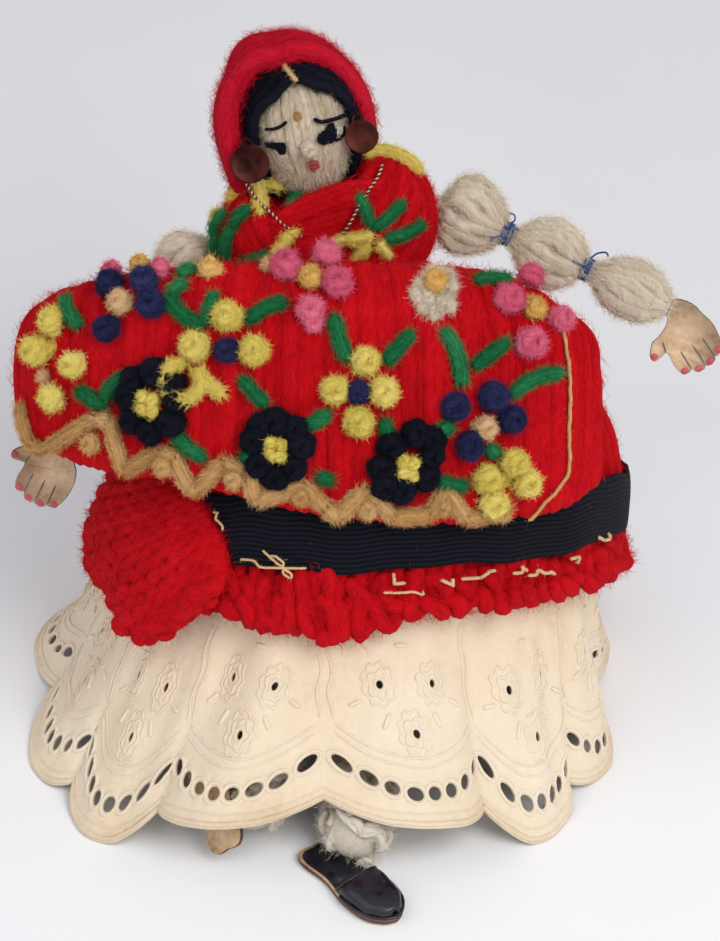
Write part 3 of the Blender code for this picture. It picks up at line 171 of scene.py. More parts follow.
class Pile:
    """Points and faces gathered for one mesh, with coordinates that run along each strand."""

    def __init__(self):
        self.points, self.faces, self.fibre, self.tone, self.outward, self.along = [], [], [], [], [], []
        self.count = 0

    def add(self, points, faces, fibre=None, tone=0.5, outward=None, along=None):
        points = np.asarray(points, float)
        self.points.append(points)
        self.fibre.append(points if fibre is None else fibre)
        self.tone.append(np.full(len(points), tone) if np.isscalar(tone) else np.asarray(tone, float))
        self.outward.append(np.zeros_like(points) if outward is None else outward)
        self.along.append(np.zeros_like(points) if along is None else along)
        start = self.count
        self.faces += [tuple(start + i for i in face) for face in faces]
        self.count += len(points)

    def tube(self, path, radius, tone=0.5, sides=8, plies=2, pitch=4.2, cut=0.2, normals=None, flat=1.0,
             round_ends=True, turn=0.0, closed=False):
        """One yarn strand: plies twisted round each other, thinner where radius says so."""
        path = np.asarray(path, float)
        count = len(path)
        radius = np.broadcast_to(np.asarray(radius, float), (count,)).copy()
        ahead, out, across = path_frames(path, normals)
        run = run_along(path)
        if round_ends and not closed:
            near = np.minimum(run, run[-1] - run)
            size = np.maximum(radius, 1e-6)
            radius *= np.sqrt(np.clip(1 - (1 - np.minimum(near / size, 1.0)) ** 2, 0.02, 1.0))
        angle = math.tau * np.arange(sides) / sides
        twist = math.tau * run / pitch + turn
        local = angle[None, :] - twist[:, None]
        shape = radius[:, None] * (1 - cut + cut * np.abs(np.cos(plies * local / 2)))
        rings = (
            path[:, None, :]
            + out[:, None, :] * (shape * np.cos(angle) * flat)[..., None]
            + across[:, None, :] * (shape * np.sin(angle))[..., None]
        )
        fibre = np.stack((np.broadcast_to(run[:, None], local.shape) + turn * 7,
                          radius[:, None] * np.cos(local), radius[:, None] * np.sin(local)), 2)
        away = unit(rings - path[:, None, :])
        faces = ring_faces(count, sides, closed)
        if not closed:
            faces.append(tuple(range(sides))[::-1])
            faces.append(tuple((count - 1) * sides + k for k in range(sides)))
        self.add(rings.reshape(-1, 3), faces, fibre.reshape(-1, 3), tone, away.reshape(-1, 3),
                 np.repeat(ahead, sides, 0))

    def roving(self, path, radius, tone, pitch=70.0, **rest):
        """One thick strand that isn't twisted from plies."""
        self.tube(path, radius, tone, plies=1, pitch=pitch, cut=0.0, **rest)

    def fuzz(self, amount, length, width=0.05, lean=0.6, comb=0.0, seed=1):
        """Loose fibres as thin curved strips on the strands made so far, combed along them or standing off them."""
        points, outward, fibre, tone, ahead = (
            np.concatenate(part) for part in (self.points, self.outward, self.fibre, self.tone, self.along))
        draw = np.random.default_rng(seed)
        pick = draw.choice(np.flatnonzero(np.linalg.norm(outward, axis=1) > 0.5), amount)
        start, out = points[pick] + draw.normal(0, 0.12, (amount, 3)), outward[pick]
        wander = unit(draw.normal(0, 1, (amount, 3)))
        lay = ahead[pick] * draw.choice((-comb, comb), amount)[:, None]
        first = unit(out * (1 - lean) + wander * lean + lay)
        second = unit(first + unit(draw.normal(0, 1, (amount, 3))) * 0.9 / (1 + comb) - out * 0.12 * comb)
        long = (length * draw.uniform(0.35, 1.25, amount))[:, None]
        middle = start + first * long * 0.5
        tip = middle + second * long * 0.5
        side = unit(np.cross(first, unit(draw.normal(0, 1, (amount, 3))))) * width / 2
        strip = np.stack((start - side, start + side, middle - side * 0.8, middle + side * 0.8, tip), 1)
        base = np.arange(amount) * 5
        faces = [(b, b + 1, b + 3, b + 2) for b in base] + [(b + 2, b + 3, b + 4) for b in base]
        spread = np.repeat(fibre[pick], 5, 0)
        shade = np.clip(np.repeat(tone[pick] + draw.normal(0.06, 0.1, amount), 5), 0, 1)
        self.add(strip.reshape(-1, 3), faces, spread, shade)

    def make(self, name, material, body, replaced=(), smooth=True):
        points = (np.concatenate(self.points) + SHIFT) / 1000
        points[:, 2] = np.maximum(points[:, 2], 0.0)
        mesh = bpy.data.meshes.new(name)
        sizes = np.array([len(f) for f in self.faces])
        corners = np.fromiter((i for f in self.faces for i in f), dtype=np.int32, count=int(sizes.sum()))
        mesh.vertices.add(len(points))
        mesh.vertices.foreach_set("co", points.ravel())
        mesh.loops.add(len(corners))
        mesh.loops.foreach_set("vertex_index", corners)
        mesh.polygons.add(len(sizes))
        mesh.polygons.foreach_set("loop_start", np.concatenate(([0], np.cumsum(sizes)[:-1])))
        mesh.update(calc_edges=True)
        for attribute_name, kind, field, values in (
            ("fibre", "FLOAT_VECTOR", "vector", self.fibre),
            ("tone", "FLOAT", "value", self.tone),
        ):
            made = mesh.attributes.new(attribute_name, kind, "POINT")
            made.data.foreach_set(field, np.concatenate(values).astype(np.float32).ravel())
        if smooth:
            mesh.shade_smooth()
        mesh.materials.append(material)
        made = bpy.data.objects.new(name, mesh)
        bpy.context.scene.collection.objects.link(made)
        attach(made, body)
        if replaced:
            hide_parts(*replaced)
        return made
# Materials


def start_material(name, roughness, metallic=0.0):
    made = bpy.data.materials.new(name)
    made.use_nodes = True
    tree = made.node_tree
    shader = tree.nodes["Principled BSDF"]
    shader.inputs["Roughness"].default_value = roughness
    shader.inputs["Metallic"].default_value = metallic
    return made, tree, shader


def ramp(tree, source, stops):
    made = tree.nodes.new("ShaderNodeValToRGB")
    steps = made.color_ramp.elements
    steps[0].position, steps[0].color = stops[0][0], (*stops[0][1], 1)
    steps[1].position, steps[1].color = stops[-1][0], (*stops[-1][1], 1)
    for place, colour in stops[1:-1]:
        step = steps.new(place)
        step.color = (*colour, 1)
    tree.links.new(source, made.inputs["Fac"])
    return made.outputs["Color"]


def mixed(tree, share, first, second):
    made = tree.nodes.new("ShaderNodeMix")
    made.data_type = "RGBA"
    for value, socket in ((share, 0), (first, 6), (second, 7)):
        tree.links.new(value, made.inputs[socket])
    return made.outputs[2]


def scaled_noise(tree, vector, scale, detail=4.0, stretch=(1, 1, 1), roughness=0.6):
    move = tree.nodes.new("ShaderNodeMapping")
    move.inputs["Scale"].default_value = stretch
    tree.links.new(vector, move.inputs["Vector"])
    noise = tree.nodes.new("ShaderNodeTexNoise")
    noise.inputs["Scale"].default_value = scale
    noise.inputs["Detail"].default_value = detail
    noise.inputs["Roughness"].default_value = roughness
    tree.links.new(move.outputs["Vector"], noise.inputs["Vector"])
    return noise.outputs["Fac"]


def bump(tree, shader, height, strength, distance):
    made = tree.nodes.new("ShaderNodeBump")
    made.inputs["Strength"].default_value = strength
    made.inputs["Distance"].default_value = distance
    tree.links.new(height, made.inputs["Height"])
    tree.links.new(made.outputs["Normal"], shader.inputs["Normal"])


def object_place(tree):
    return tree.nodes.new("ShaderNodeTexCoord").outputs["Object"]


def attribute(tree, name):
    made = tree.nodes.new("ShaderNodeAttribute")
    made.attribute_name = name
    return made


def weighed(tree, parts):
    """The sum of several values, each times its weight."""
    total = None
    for value, weight in parts:
        made = tree.nodes.new("ShaderNodeMath")
        made.operation = "MULTIPLY_ADD"
        tree.links.new(value, made.inputs[0])
        made.inputs[1].default_value = weight
        made.inputs[2].default_value = 0.0
        if total:
            tree.links.new(total, made.inputs[2])
        total = made.outputs[0]
    return total


def wool(name, deep, middle, light, sheen=0.18):
    """Spun wool: fibres along the strand, strands of unlike shade, and a soft nap."""
    made, tree, shader = start_material(name, 0.92)
    along = attribute(tree, "fibre").outputs["Vector"]
    tone = attribute(tree, "tone").outputs["Fac"]
    fibres = scaled_noise(tree, along, 3.2, 5.0, (0.22, 1.0, 1.0), 0.7)
    cloud = scaled_noise(tree, object_place(tree), 170.0, 3.0)
    value = weighed(tree, ((tone, 0.26), (fibres, 0.52), (cloud, 0.22)))
    colour = ramp(tree, value, ((0.30, deep), (0.5, middle), (0.72, light)))
    tree.links.new(colour, shader.inputs["Base Color"])
    shader.inputs["Sheen Weight"].default_value = sheen
    shader.inputs["Sheen Roughness"].default_value = 0.45
    shader.inputs["Sheen Tint"].default_value = (*light, 1)
    shader.inputs["Specular IOR Level"].default_value = 0.15
    bump(tree, shader, fibres, 0.8, 0.0006)
    return made


RED = wool("red_wool_yarn", (0.22, 0.0, 0.002), (0.55, 0.0005, 0.006), (0.74, 0.010, 0.018), 0.06)
SCARF_RED = wool("scarf_red_yarn", (0.24, 0.0005, 0.008), (0.50, 0.002, 0.020), (0.68, 0.02, 0.045), 0.10)
CREAM = wool("cream_wool_yarn", (0.40, 0.31, 0.21), (0.70, 0.60, 0.46), (0.86, 0.79, 0.67), 0.15)
FACE = wool("face_wool_yarn", (0.32, 0.22, 0.14), (0.62, 0.51, 0.38), (0.84, 0.77, 0.65), 0.12)
WHITE = wool("white_fleece", (0.45, 0.38, 0.29), (0.72, 0.65, 0.54), (0.86, 0.82, 0.74), 0.25)
INK = wool("blue_black_yarn", (0.001, 0.001, 0.003), (0.0035, 0.004, 0.011), (0.014, 0.016, 0.032), 0.03)
NAVY = wool("navy_yarn", (0.004, 0.005, 0.02), (0.018, 0.020, 0.078), (0.06, 0.07, 0.19), 0.08)
YELLOW = wool("yellow_yarn", (0.42, 0.29, 0.03), (0.78, 0.62, 0.13), (0.92, 0.81, 0.34), 0.12)
LIME = wool("lime_yarn", (0.30, 0.30, 0.06), (0.60, 0.62, 0.20), (0.78, 0.8, 0.4), 0.2)
ORANGE = wool("warm_yellow_yarn", (0.42, 0.19, 0.03), (0.74, 0.43, 0.11), (0.86, 0.62, 0.26), 0.1)
PEACH = wool("peach_yarn", (0.42, 0.22, 0.09), (0.72, 0.46, 0.23), (0.84, 0.64, 0.42), 0.1)
PINK = wool("pink_yarn", (0.40, 0.03, 0.08), (0.74, 0.12, 0.22), (0.88, 0.36, 0.45), 0.2)
LIP = wool("lip_red_yarn", (0.22, 0.025, 0.025), (0.40, 0.07, 0.06), (0.56, 0.18, 0.14), 0.1)
GREEN = wool("green_yarn", (0.002, 0.05, 0.018), (0.010, 0.17, 0.055), (0.06, 0.33, 0.13), 0.08)
TAN = wool("tan_yarn", (0.30, 0.14, 0.04), (0.60, 0.35, 0.13), (0.76, 0.53, 0.27), 0.12)
BLUE = wool("blue_thread", (0.01, 0.03, 0.12), (0.03, 0.09, 0.30), (0.12, 0.22, 0.48), 0.1)


def tape_finish():
    """Ribbed near-black tape: a fine rib along its length, mottled by a weft."""
    made, tree, shader = start_material("ribbed_tape", 0.86)
    along = attribute(tree, "fibre").outputs["Vector"]
    wave = tree.nodes.new("ShaderNodeTexWave")
    wave.wave_type = "BANDS"
    wave.bands_direction = "Y"
    wave.inputs["Scale"].default_value = 0.55
    wave.inputs["Distortion"].default_value = 0.4
    wave.inputs["Detail"].default_value = 2.0
    tree.links.new(along, wave.inputs["Vector"])
    weft = scaled_noise(tree, along, 4.0, 3.0, (3.0, 0.5, 1.0))
    value = weighed(tree, ((wave.outputs["Fac"], 0.5), (weft, 0.5)))
    stops = ((0.2, (0.001, 0.001, 0.003)), (0.55, (0.003, 0.004, 0.009)), (0.9, (0.010, 0.012, 0.022)))
    colour = ramp(tree, value, stops)
    tree.links.new(colour, shader.inputs["Base Color"])
    shader.inputs["Sheen Weight"].default_value = 0.02
    shader.inputs["Specular IOR Level"].default_value = 0.12
    bump(tree, shader, value, 0.8, 0.0003)
    return made


def cotton_finish():
    """Cream cotton: plain weave and soft yellowing in clouds."""
    made, tree, shader = start_material("eyelet_cotton", 0.88)
    place = object_place(tree)
    cloud = scaled_noise(tree, place, 38.0, 4.0)
    fine = scaled_noise(tree, place, 900.0, 2.0)
    crease_bumps_and_shade = scaled_noise(tree, place, 210.0, 5.0, (1.0, 1.0, 0.45), 0.7)
    # On the petticoat cloth the tone attribute carries painted shade round the eyelets and on the inner face.
    tone = attribute(tree, "tone").outputs["Fac"]
    # The crease noise bumps the cloth and also darkens its colour in the creases: painted shade.
    value = weighed(tree, ((cloud, 0.45), (fine, 0.12), (crease_bumps_and_shade, 0.2), (tone, 0.35)))
    colour = ramp(tree, value, ((0.30, (0.52, 0.37, 0.22)), (0.52, (0.76, 0.62, 0.45)), (0.78, (0.86, 0.76, 0.62))))
    tree.links.new(colour, shader.inputs["Base Color"])
    shader.inputs["Subsurface Weight"].default_value = 0.08
    shader.inputs["Subsurface Radius"].default_value = (0.004, 0.003, 0.002)
    shader.inputs["Subsurface Scale"].default_value = 0.5
    shader.inputs["Specular IOR Level"].default_value = 0.2
    weave = weighed(tree, ((fine, 0.35), (crease_bumps_and_shade, 0.65)))
    bump(tree, shader, weave, 0.7, 0.0006)
    return made


def leather_finish(name, deep, middle, light, roughness=0.7):
    made, tree, shader = start_material(name, roughness)
    place = object_place(tree)
    grain = scaled_noise(tree, place, 1100.0, 4.0)
    stain = scaled_noise(tree, place, 190.0, 5.0)
    value = weighed(tree, ((grain, 0.35), (stain, 0.65)))
    colour = ramp(tree, value, ((0.35, deep), (0.5, middle), (0.66, light)))
    tree.links.new(colour, shader.inputs["Base Color"])
    bump(tree, shader, grain, 0.4, 0.0002)
    return made


def patent_finish():
    made, tree, shader = start_material("black_patent", 0.28)
    place = object_place(tree)
    wear = scaled_noise(tree, place, 420.0, 6.0)
    stops = ((0.35, (0.006, 0.005, 0.010)), (0.60, (0.014, 0.012, 0.02)), (0.74, (0.07, 0.06, 0.06)))
    colour = ramp(tree, wear, stops)
    rough = ramp(tree, wear, ((0.35, (0.2, 0.2, 0.2)), (0.7, (0.55, 0.55, 0.55))))
    tree.links.new(colour, shader.inputs["Base Color"])
    tree.links.new(rough, shader.inputs["Roughness"])
    bump(tree, shader, wear, 0.35, 0.0003)
    return made


def copper_finish(name, deep, light, roughness, spiral_highlight=False):
    made, tree, shader = start_material(name, roughness, 0.85)
    place = object_place(tree)
    stain = scaled_noise(tree, place, 260.0, 5.0)
    # With a spiral highlight the colour follows the tone attribute: painted highlight and shade rather than the metal's
    # own colour.
    shade = attribute(tree, "tone").outputs["Fac"] if spiral_highlight else stain
    colour = ramp(tree, shade, ((0.35, deep), (0.65, light)))
    rough = ramp(tree, stain, ((0.3, (roughness * 0.7,) * 3), (0.7, (min(roughness * 1.4, 1.0),) * 3)))
    tree.links.new(colour, shader.inputs["Base Color"])
    tree.links.new(rough, shader.inputs["Roughness"])
    bump(tree, shader, stain, 0.25, 0.0002)
    return made


def steel_finish():
    made, tree, shader = start_material("bending_wire", 0.42, 1.0)
    place = object_place(tree)
    drawn = scaled_noise(tree, place, 700.0, 3.0, (1.0, 1.0, 0.2))
    colour = ramp(tree, drawn, ((0.3, (0.28, 0.28, 0.29)), (0.7, (0.5, 0.5, 0.52))))
    tree.links.new(colour, shader.inputs["Base Color"])
    bump(tree, shader, drawn, 0.3, 0.0001)
    return made


TAPE = tape_finish()
COTTON = cotton_finish()
CARD = leather_finish("tan_leather", (0.46, 0.29, 0.17), (0.64, 0.44, 0.27), (0.74, 0.56, 0.38))
SOLE = leather_finish("sole_leather", (0.30, 0.17, 0.08), (0.50, 0.33, 0.19), (0.64, 0.46, 0.29), 0.8)
EDGE = leather_finish("dark_cut_edge", (0.05, 0.025, 0.018), (0.10, 0.05, 0.035), (0.17, 0.09, 0.06), 0.75)
INKED = leather_finish("drawn_grey_line", (0.10, 0.08, 0.07), (0.17, 0.13, 0.11), (0.24, 0.19, 0.16), 0.8)
NAIL = leather_finish("nail_red", (0.32, 0.03, 0.04), (0.46, 0.06, 0.08), (0.55, 0.12, 0.13), 0.45)
PATENT = patent_finish()
SEQUIN = copper_finish("copper_sequin", (0.022, 0.004, 0.003), (0.08, 0.016, 0.010), 0.36)
# The chain's colour runs from dark to bright along a painted spiral of highlight and shade.
CHAIN = copper_finish("copper_thread", (0.05, 0.02, 0.014), (0.66, 0.42, 0.30), 0.4, True)
STEEL = steel_finish()
# Camera, floor and light

CAMERA_ELEVATION = math.radians(38)
CAMERA_DISTANCE = 0.90
PIXEL_SCALE = 5.5  # the photograph's pixels per millimetre at the doll
PICTURE_ROWS = 941
PICTURE_MIDDLE_ROW, PICTURE_MIDDLE_HEIGHT = 470.5, 38.0  # a row, and how high it lies across the line of sight
AIM = (np.array((6.4, 0.0, 48.2)) + SHIFT) / 1000


def make_camera():
    data = bpy.data.cameras.new("camera")
    data.sensor_width = 36.0
    data.lens = data.sensor_width * CAMERA_DISTANCE * 1000 * PIXEL_SCALE / PICTURE_ROWS
    data.clip_start = 0.01
    made = bpy.data.objects.new("camera", data)
    bpy.context.scene.collection.objects.link(made)
    back = Vector((0, -math.cos(CAMERA_ELEVATION), math.sin(CAMERA_ELEVATION)))
    made.location = Vector(AIM) + back * CAMERA_DISTANCE
    made.rotation_euler = (math.pi / 2 - CAMERA_ELEVATION, 0, 0)
    bpy.context.scene.camera = made


FLOOR_END, FLOOR_BLEND = 0.060, 0.03  # metres behind the doll's middle


def make_stage():
    """A pale sheet of paper whose far part is painted a little greyer, as painted shade standing in for the wall behind
    the doll.
    """
    made, tree, shader = start_material("pale_paper", 0.75)
    place = object_place(tree)
    grain = scaled_noise(tree, place, 9.0, 3.0)
    near = ramp(tree, grain, ((0.3, (0.87, 0.88, 0.91)), (0.7, (0.90, 0.91, 0.93))))
    # Painted shade: past FLOOR_END the floor turns greyer, like the shaded wall.
    far = ramp(tree, grain, ((0.3, (0.80, 0.80, 0.82)), (0.7, (0.84, 0.84, 0.86))))
    apart = tree.nodes.new("ShaderNodeSeparateXYZ")
    tree.links.new(place, apart.inputs[0])
    line = tree.nodes.new("ShaderNodeMapRange")
    line.inputs["From Min"].default_value = FLOOR_END
    line.inputs["From Max"].default_value = FLOOR_END + FLOOR_BLEND
    tree.links.new(apart.outputs["Y"], line.inputs["Value"])
    tree.links.new(mixed(tree, line.outputs["Result"], near, far), shader.inputs["Base Color"])
    mesh = bpy.data.meshes.new("floor")
    mesh.from_pydata([(-2, -2, 0), (2, -2, 0), (2, 2, 0), (-2, 2, 0)], [], [(0, 1, 2, 3)])
    mesh.materials.append(made)
    placed = bpy.data.objects.new("floor", mesh)
    bpy.context.scene.collection.objects.link(placed)
    world = bpy.data.worlds.new("soft_room")
    world.use_nodes = True
    sky = world.node_tree.nodes["Background"]
    sky.inputs["Color"].default_value = (0.93, 0.95, 1.0, 1)
    sky.inputs["Strength"].default_value = 0.52
    bpy.context.scene.world = world
    for name, place, size, power in (
        ("window", (0.42, -0.55, 0.75), 0.6, 6.4),
        ("room", (-0.6, -0.45, 0.6), 0.9, 2.3),
    ):
        lamp = bpy.data.lights.new(name, "AREA")
        lamp.size = size
        lamp.energy = power
        lamp.color = (1.0, 0.985, 0.96)
        made = bpy.data.objects.new(name, lamp)
        made.location = place
        made.rotation_euler = (Vector((0, 0, 0.05)) - Vector(place)).to_track_quat("-Z", "Y").to_euler()
        bpy.context.scene.collection.objects.link(made)
    bpy.context.scene.view_settings.view_transform = "Standard"


make_camera()
make_stage()
# Skirt, its fan, frill and tape

SKIRT_LEFT_REACH, SKIRT_RIGHT_REACH = 41.0, 55.0
SKIRT_FRONT_REACH, SKIRT_BACK_REACH = 27.5, 33.0
SKIRT_DROP = 43.0
SKIRT_THICKNESS = 4.0
PLEAT_DEPTH = 0.9
PLEATS = 18
SKIRT_RING_SHARES = (
    (0.275, 0.205, 0.315, 0.19, 0.07, 0.925),
    (0.38, 0.36, 0.58, 0.46, 0.16, 0.895),
    (0.46, 0.56, 0.80, 0.72, 0.15, 0.79),
    (0.56, 0.78, 0.95, 0.87, 0.00, 0.62),
    (0.72, 0.94, 1.00, 0.94, -0.28, 0.44),
    (0.88, 0.985, 0.99, 0.98, -0.60, 0.30),
    (0.96, 0.985, 0.975, 0.99, -0.82, 0.20),
    (1.0, 0.97, 0.95, 1.0, -1.0, 0.125),
)


def skirt_point(angle, share, outward=0.0, pleats=True):
    """A point on the skirt. Angle 0 is the front and the right side is positive."""
    left, right, front, back, front_height, back_height = (
        blend_table(column, share) for column in zip(*SKIRT_RING_SHARES))
    front_point = UPPER @ Vector((0.0, -(SKIRT_FRONT_REACH * front + outward), SKIRT_DROP * front_height))
    back_point = Vector((0.0, WAIST.y + SKIRT_BACK_REACH * back + outward, WAIST.z * back_height))
    middle, half = (front_point + back_point) / 2, (front_point - back_point) / 2
    reach = SKIRT_RIGHT_REACH * right if math.sin(angle) > 0 else SKIRT_LEFT_REACH * left
    ripple = PLEAT_DEPTH * (left - SKIRT_RING_SHARES[0][0]) * math.cos(PLEATS * angle) if pleats else 0.0
    point = middle + half * math.cos(angle) * (1 + ripple / half.length)
    point.x = (reach + outward + ripple) * math.sin(angle)
    return point


def even_angles(share, count, first=-math.pi, last=math.pi):
    """Angles whose points on the skirt's ring lie evenly far apart."""
    angles = np.linspace(first, last, 241)
    ring = rows_of([skirt_point(a, share, pleats=False) for a in angles])
    run = run_along(ring)
    return np.interp((np.arange(count) + 0.5) / count * run[-1], run, angles)


SKIRT_STRANDS = 104
STRAND = 1.25


def make_skirt():
    pile = Pile()
    for k, angle in enumerate(even_angles(0.8, SKIRT_STRANDS)):
        sway = rng.normal(0, 0.012)
        line = []
        for share in np.linspace(0, 1, 16):
            drift = sway * math.sin(share * 4 + k)
            line.append(skirt_point(angle + drift, share, -STRAND + 0.35 * math.sin(k * 1.9 + share * 3) * share))
        path = smooth_path(line, 60, 0.62)
        size = 1.25 * STRAND * (0.55 + 0.5 * np.linspace(0, 1, len(path)) ** 0.6) * rng.uniform(0.9, 1.1)
        pile.roving(path, size, rng.uniform(0.38, 0.62), round_ends=False)
    # The lining's low tone is painted shade seen between the skirt's strands.
    lining(pile, lambda a, s: skirt_point(a, s, -2.4), lambda a, s: skirt_point(a, s, -3.2, False), 60, 12)
    pile.fuzz(36000, 2.4, width=0.07, lean=0.28, comb=1.0, seed=3)
    pile.make("skirt_yarn", RED, "root", ["skirt"])


def lining(pile, outer, inner, sides, rows, tone=0.1):
    """A thin closed layer behind the strands, open at both ends, given a low tone as painted shade in the gaps between
    them.
    """
    points = []
    for row in range(rows):
        points += [outer(math.tau * k / sides, row / (rows - 1)) for k in range(sides)]
    for row in reversed(range(rows)):
        points += [inner(math.tau * k / sides, row / (rows - 1)) for k in range(sides)]
    pile.add(rows_of(points), ring_faces(2 * rows, sides, closed=True), tone=tone)


# The left side is a fan of thick ridges over the tape's end. Each row is an angle in degrees and a share down the
# skirt, which past 1 hangs below the hem.
FAN_STARTS = ((-43, 0.66), (-35, 0.71), (-29, 0.77), (-25.5, 0.83), (-23.5, 0.91))
FAN_ENDS = (
    (-100, 0.70), (-101, 0.83), (-98, 0.96), (-84, 1.02), (-72, 1.06), (-63, 1.10), (-56, 1.17), (-51, 1.26),
    (-46, 1.32), (-42, 1.36), (-38, 1.26), (-35.5, 1.16), (-31.5, 1.07), (-26.5, 1.02),
)
FAN_HANG = 2.7
FAN_BULGE = 2.2
FAN_LAYERS = ((20, 2.4), (19, 4.2))  # strands, and how far out they lie
FAN_BACK_LAYERS = ((0.45, 1.0, 0.2), (0.52, 1.06, 1.0))  # first and last share down the skirt, and how far out
FAN_LOWEST, FAN_BACK_LOWEST = 2.4, 1.8
FAN_HAND_ROOM = 0.85  # how much flatter the fan lies where the left hand comes down


def fan_point(angle, share, lift):
    """A point over the skirt's left side, where the frill's own fall carries on past the hem."""
    if share <= 1.0:
        return skirt_point(angle, share, lift, False)
    return frill_point(angle, (share - 1.0) * FAN_HANG, lift)


def make_fan():
    pile = Pile()
    starts = smooth_rows(FAN_STARTS, 61)
    ends = even_rows(smooth_rows(np.array(FAN_ENDS) * (1, 90), 121), 0.5) / (1, 90)
    for layer, (count, lift) in enumerate(FAN_LAYERS):
        for k in range(count):
            share = (k + 0.5 * layer + 0.25) / count
            first = starts[int(share * 60)]
            last = ends[int(share * (len(ends) - 1))] + rng.normal(0, 1, 2) * (1.0, 0.012)
            line = []
            room = 1 - FAN_HAND_ROOM * math.exp(-((share / 0.32) ** 2))
            for t in np.linspace(0, 1, 12):
                angle, down = first + (last - first) * t
                bulge = FAN_BULGE * math.sin(math.pi * min(t * 1.1, 1.0))
                proud = (lift * (0.55 + 0.45 * t) + bulge) * (1 + (room - 1) * t)
                line.append(fan_point(math.radians(angle), down, proud - 1.6 * t**6))
            path = smooth_path(line, 70, 0.5)
            run = np.arange(len(path)) * 0.5
            way = unit(path[-1] - path[0])
            side = unit(np.cross(way, path.mean(0) - (0, 10, 40)))
            path = path + side * (0.3 * np.sin(run * 1.3 + k * 2.1))[:, None]
            size = 2.3 * np.linspace(0.4, 1.0, len(path)) ** 0.75 * (1 + 0.10 * np.sin(run * 2.3 + k * 1.7))
            path[:, 2] = np.maximum(path[:, 2], FAN_LOWEST)
            pile.roving(path, size, rng.uniform(0.4, 0.6), 40.0, sides=10, turn=rng.uniform(0, 6))
    for first, last, lift in FAN_BACK_LAYERS:
        for angle in np.linspace(math.radians(-150), math.radians(-98), 22):
            line = []
            for share in np.linspace(first, 1.0, 10):
                up = (share - first) / (1 - first)
                line.append(skirt_point(angle + rng.normal(0, 0.006), share, lift * min(up * 4, 1.0), False))
            line.append(line[-1] + (line[-1] - line[-2]).normalized() * 4.0 * (last - 0.9) - Vector((0, 0, 1.2)))
            path = smooth_path(line, 50, 0.55)
            path[:, 2] = np.maximum(path[:, 2], FAN_BACK_LOWEST)
            size = 1.7 * np.linspace(0.8, 1.15, len(path)) * rng.uniform(0.9, 1.1)
            pile.roving(path, size, rng.uniform(0.35, 0.65), 30.0)
    pile.fuzz(34000, 2.5, width=0.07, lean=0.3, comb=0.9, seed=4)
    pile.make("skirt_fan", RED, "root")


FRILL_DROP, FRILL_FLARE, FRILL_WAVE, FRILL_WAVES = 9.0, 5.5, 1.2, 14


def frill_point(angle, share, outward=0.0):
    """A point on the hanging frill, from the skirt's hem at 0 to its edge at 1."""
    point = skirt_point(angle, 1.0 + min(share, 0.0) * 0.25, outward, False)
    middle = skirt_point(0.0, 1.0, 0.0, False).lerp(skirt_point(math.pi, 1.0, 0.0, False), 0.5)
    away = Vector((point.x - middle.x, point.y - middle.y, 0.0)).normalized()
    share = max(share, 0.0)
    wave = FRILL_WAVE * share * math.sin(FRILL_WAVES * angle)
    fall = min(0.7 + FRILL_DROP * share, max(point.z - 0.7, 0.0))
    return point + away * (FRILL_FLARE * share + wave) - Vector((0, 0, fall))


# How far down the frill's edge hangs round the hem, in degrees from the front.
FRILL_EDGE_SHARES = (
    (-180, 0.85), (-150, 0.85), (-132, 0.2), (-45, 0.05), (-27, 0.05), (-21, 0.3), (-14, 0.62), (-5, 0.78),
    (5, 0.76), (12, 0.55), (18, 0.3), (27, 0.16), (36, 0.2), (46, 0.36), (60, 0.28), (75, 0.36), (92, 0.5),
    (120, 0.85), (180, 0.85),
)
# Each layer's top, how far down it reaches, how proud it lies, and its pieces round the hem.
FRILL_LAYERS = ((-0.30, 0.55, -2.2, 22), (-0.10, 0.95, -1.4, 24), (-0.35, 0.72, -0.3, 26), (0.0, 1.0, 0.3, 26))
FRILL_YARN, FRILL_LOWEST = 1.6, 1.7
# Where its crinkled top climbs over the tape: the middle, the width and how far.
FRILL_CLIMB = math.radians(1.5), math.radians(7.0), 0.14


def make_frill():
    """Crinkled yarn: one fat strand after another wriggles along the hem, pressed into one soft mass."""
    pile = Pile()
    turns, edges = zip(*FRILL_EDGE_SHARES)
    for top, reach, lift, pieces in FRILL_LAYERS:
        for k in range(pieces):
            start = math.tau * k / pieces + rng.normal(0, 0.05) - math.pi
            span = math.tau / pieces * 1.15
            swings = 3.8 + rng.uniform(-0.8, 0.8)
            line = []
            for t in np.linspace(0, 1, 46):
                wriggle = math.sin(t * swings * math.tau + k)
                angle = start + span * t + 0.016 * math.sin(t * 31 + k * 2)
                round_hem = math.degrees((angle + math.pi) % math.tau - math.pi)
                edge = float(np.interp(round_hem, turns, edges)) - 0.12
                climb = FRILL_CLIMB[2] * math.exp(-(((angle - FRILL_CLIMB[0]) / FRILL_CLIMB[1]) ** 2))
                low, high = top - climb, max(edge * reach, top + 0.3)
                share = (low + high) / 2 + (high - low) / 2 * wriggle * (0.8 + 0.25 * math.sin(t * 17 + k * 3))
                proud = lift + 0.8 * math.cos(t * swings * math.tau + k + 0.6) + 0.35 * math.sin(t * 23 + k)
                line.append(frill_point(angle, share, proud + 1.6 * max(-share - 0.3, 0.0)))
            path = smooth_path(line, 300, 0.6)
            path[:, 2] = np.maximum(path[:, 2], FRILL_LOWEST)
            pile.roving(path, FRILL_YARN * rng.uniform(0.85, 1.15), rng.uniform(0.42, 0.58), 30.0, sides=7,
                        turn=rng.uniform(0, 6))
    pile.fuzz(52000, 2.5, width=0.07, lean=0.38, comb=0.6, seed=5)
    pile.make("frill_yarn", RED, "root", ["skirt_frill"])


TAPE_TOP, TAPE_BOTTOM = 0.70, 0.90
TAPE_INNER, TAPE_OUTER = 1.25, 1.9
TAPE_RIBS_ROUND, TAPE_RIBS_ACROSS = 48, 8.2


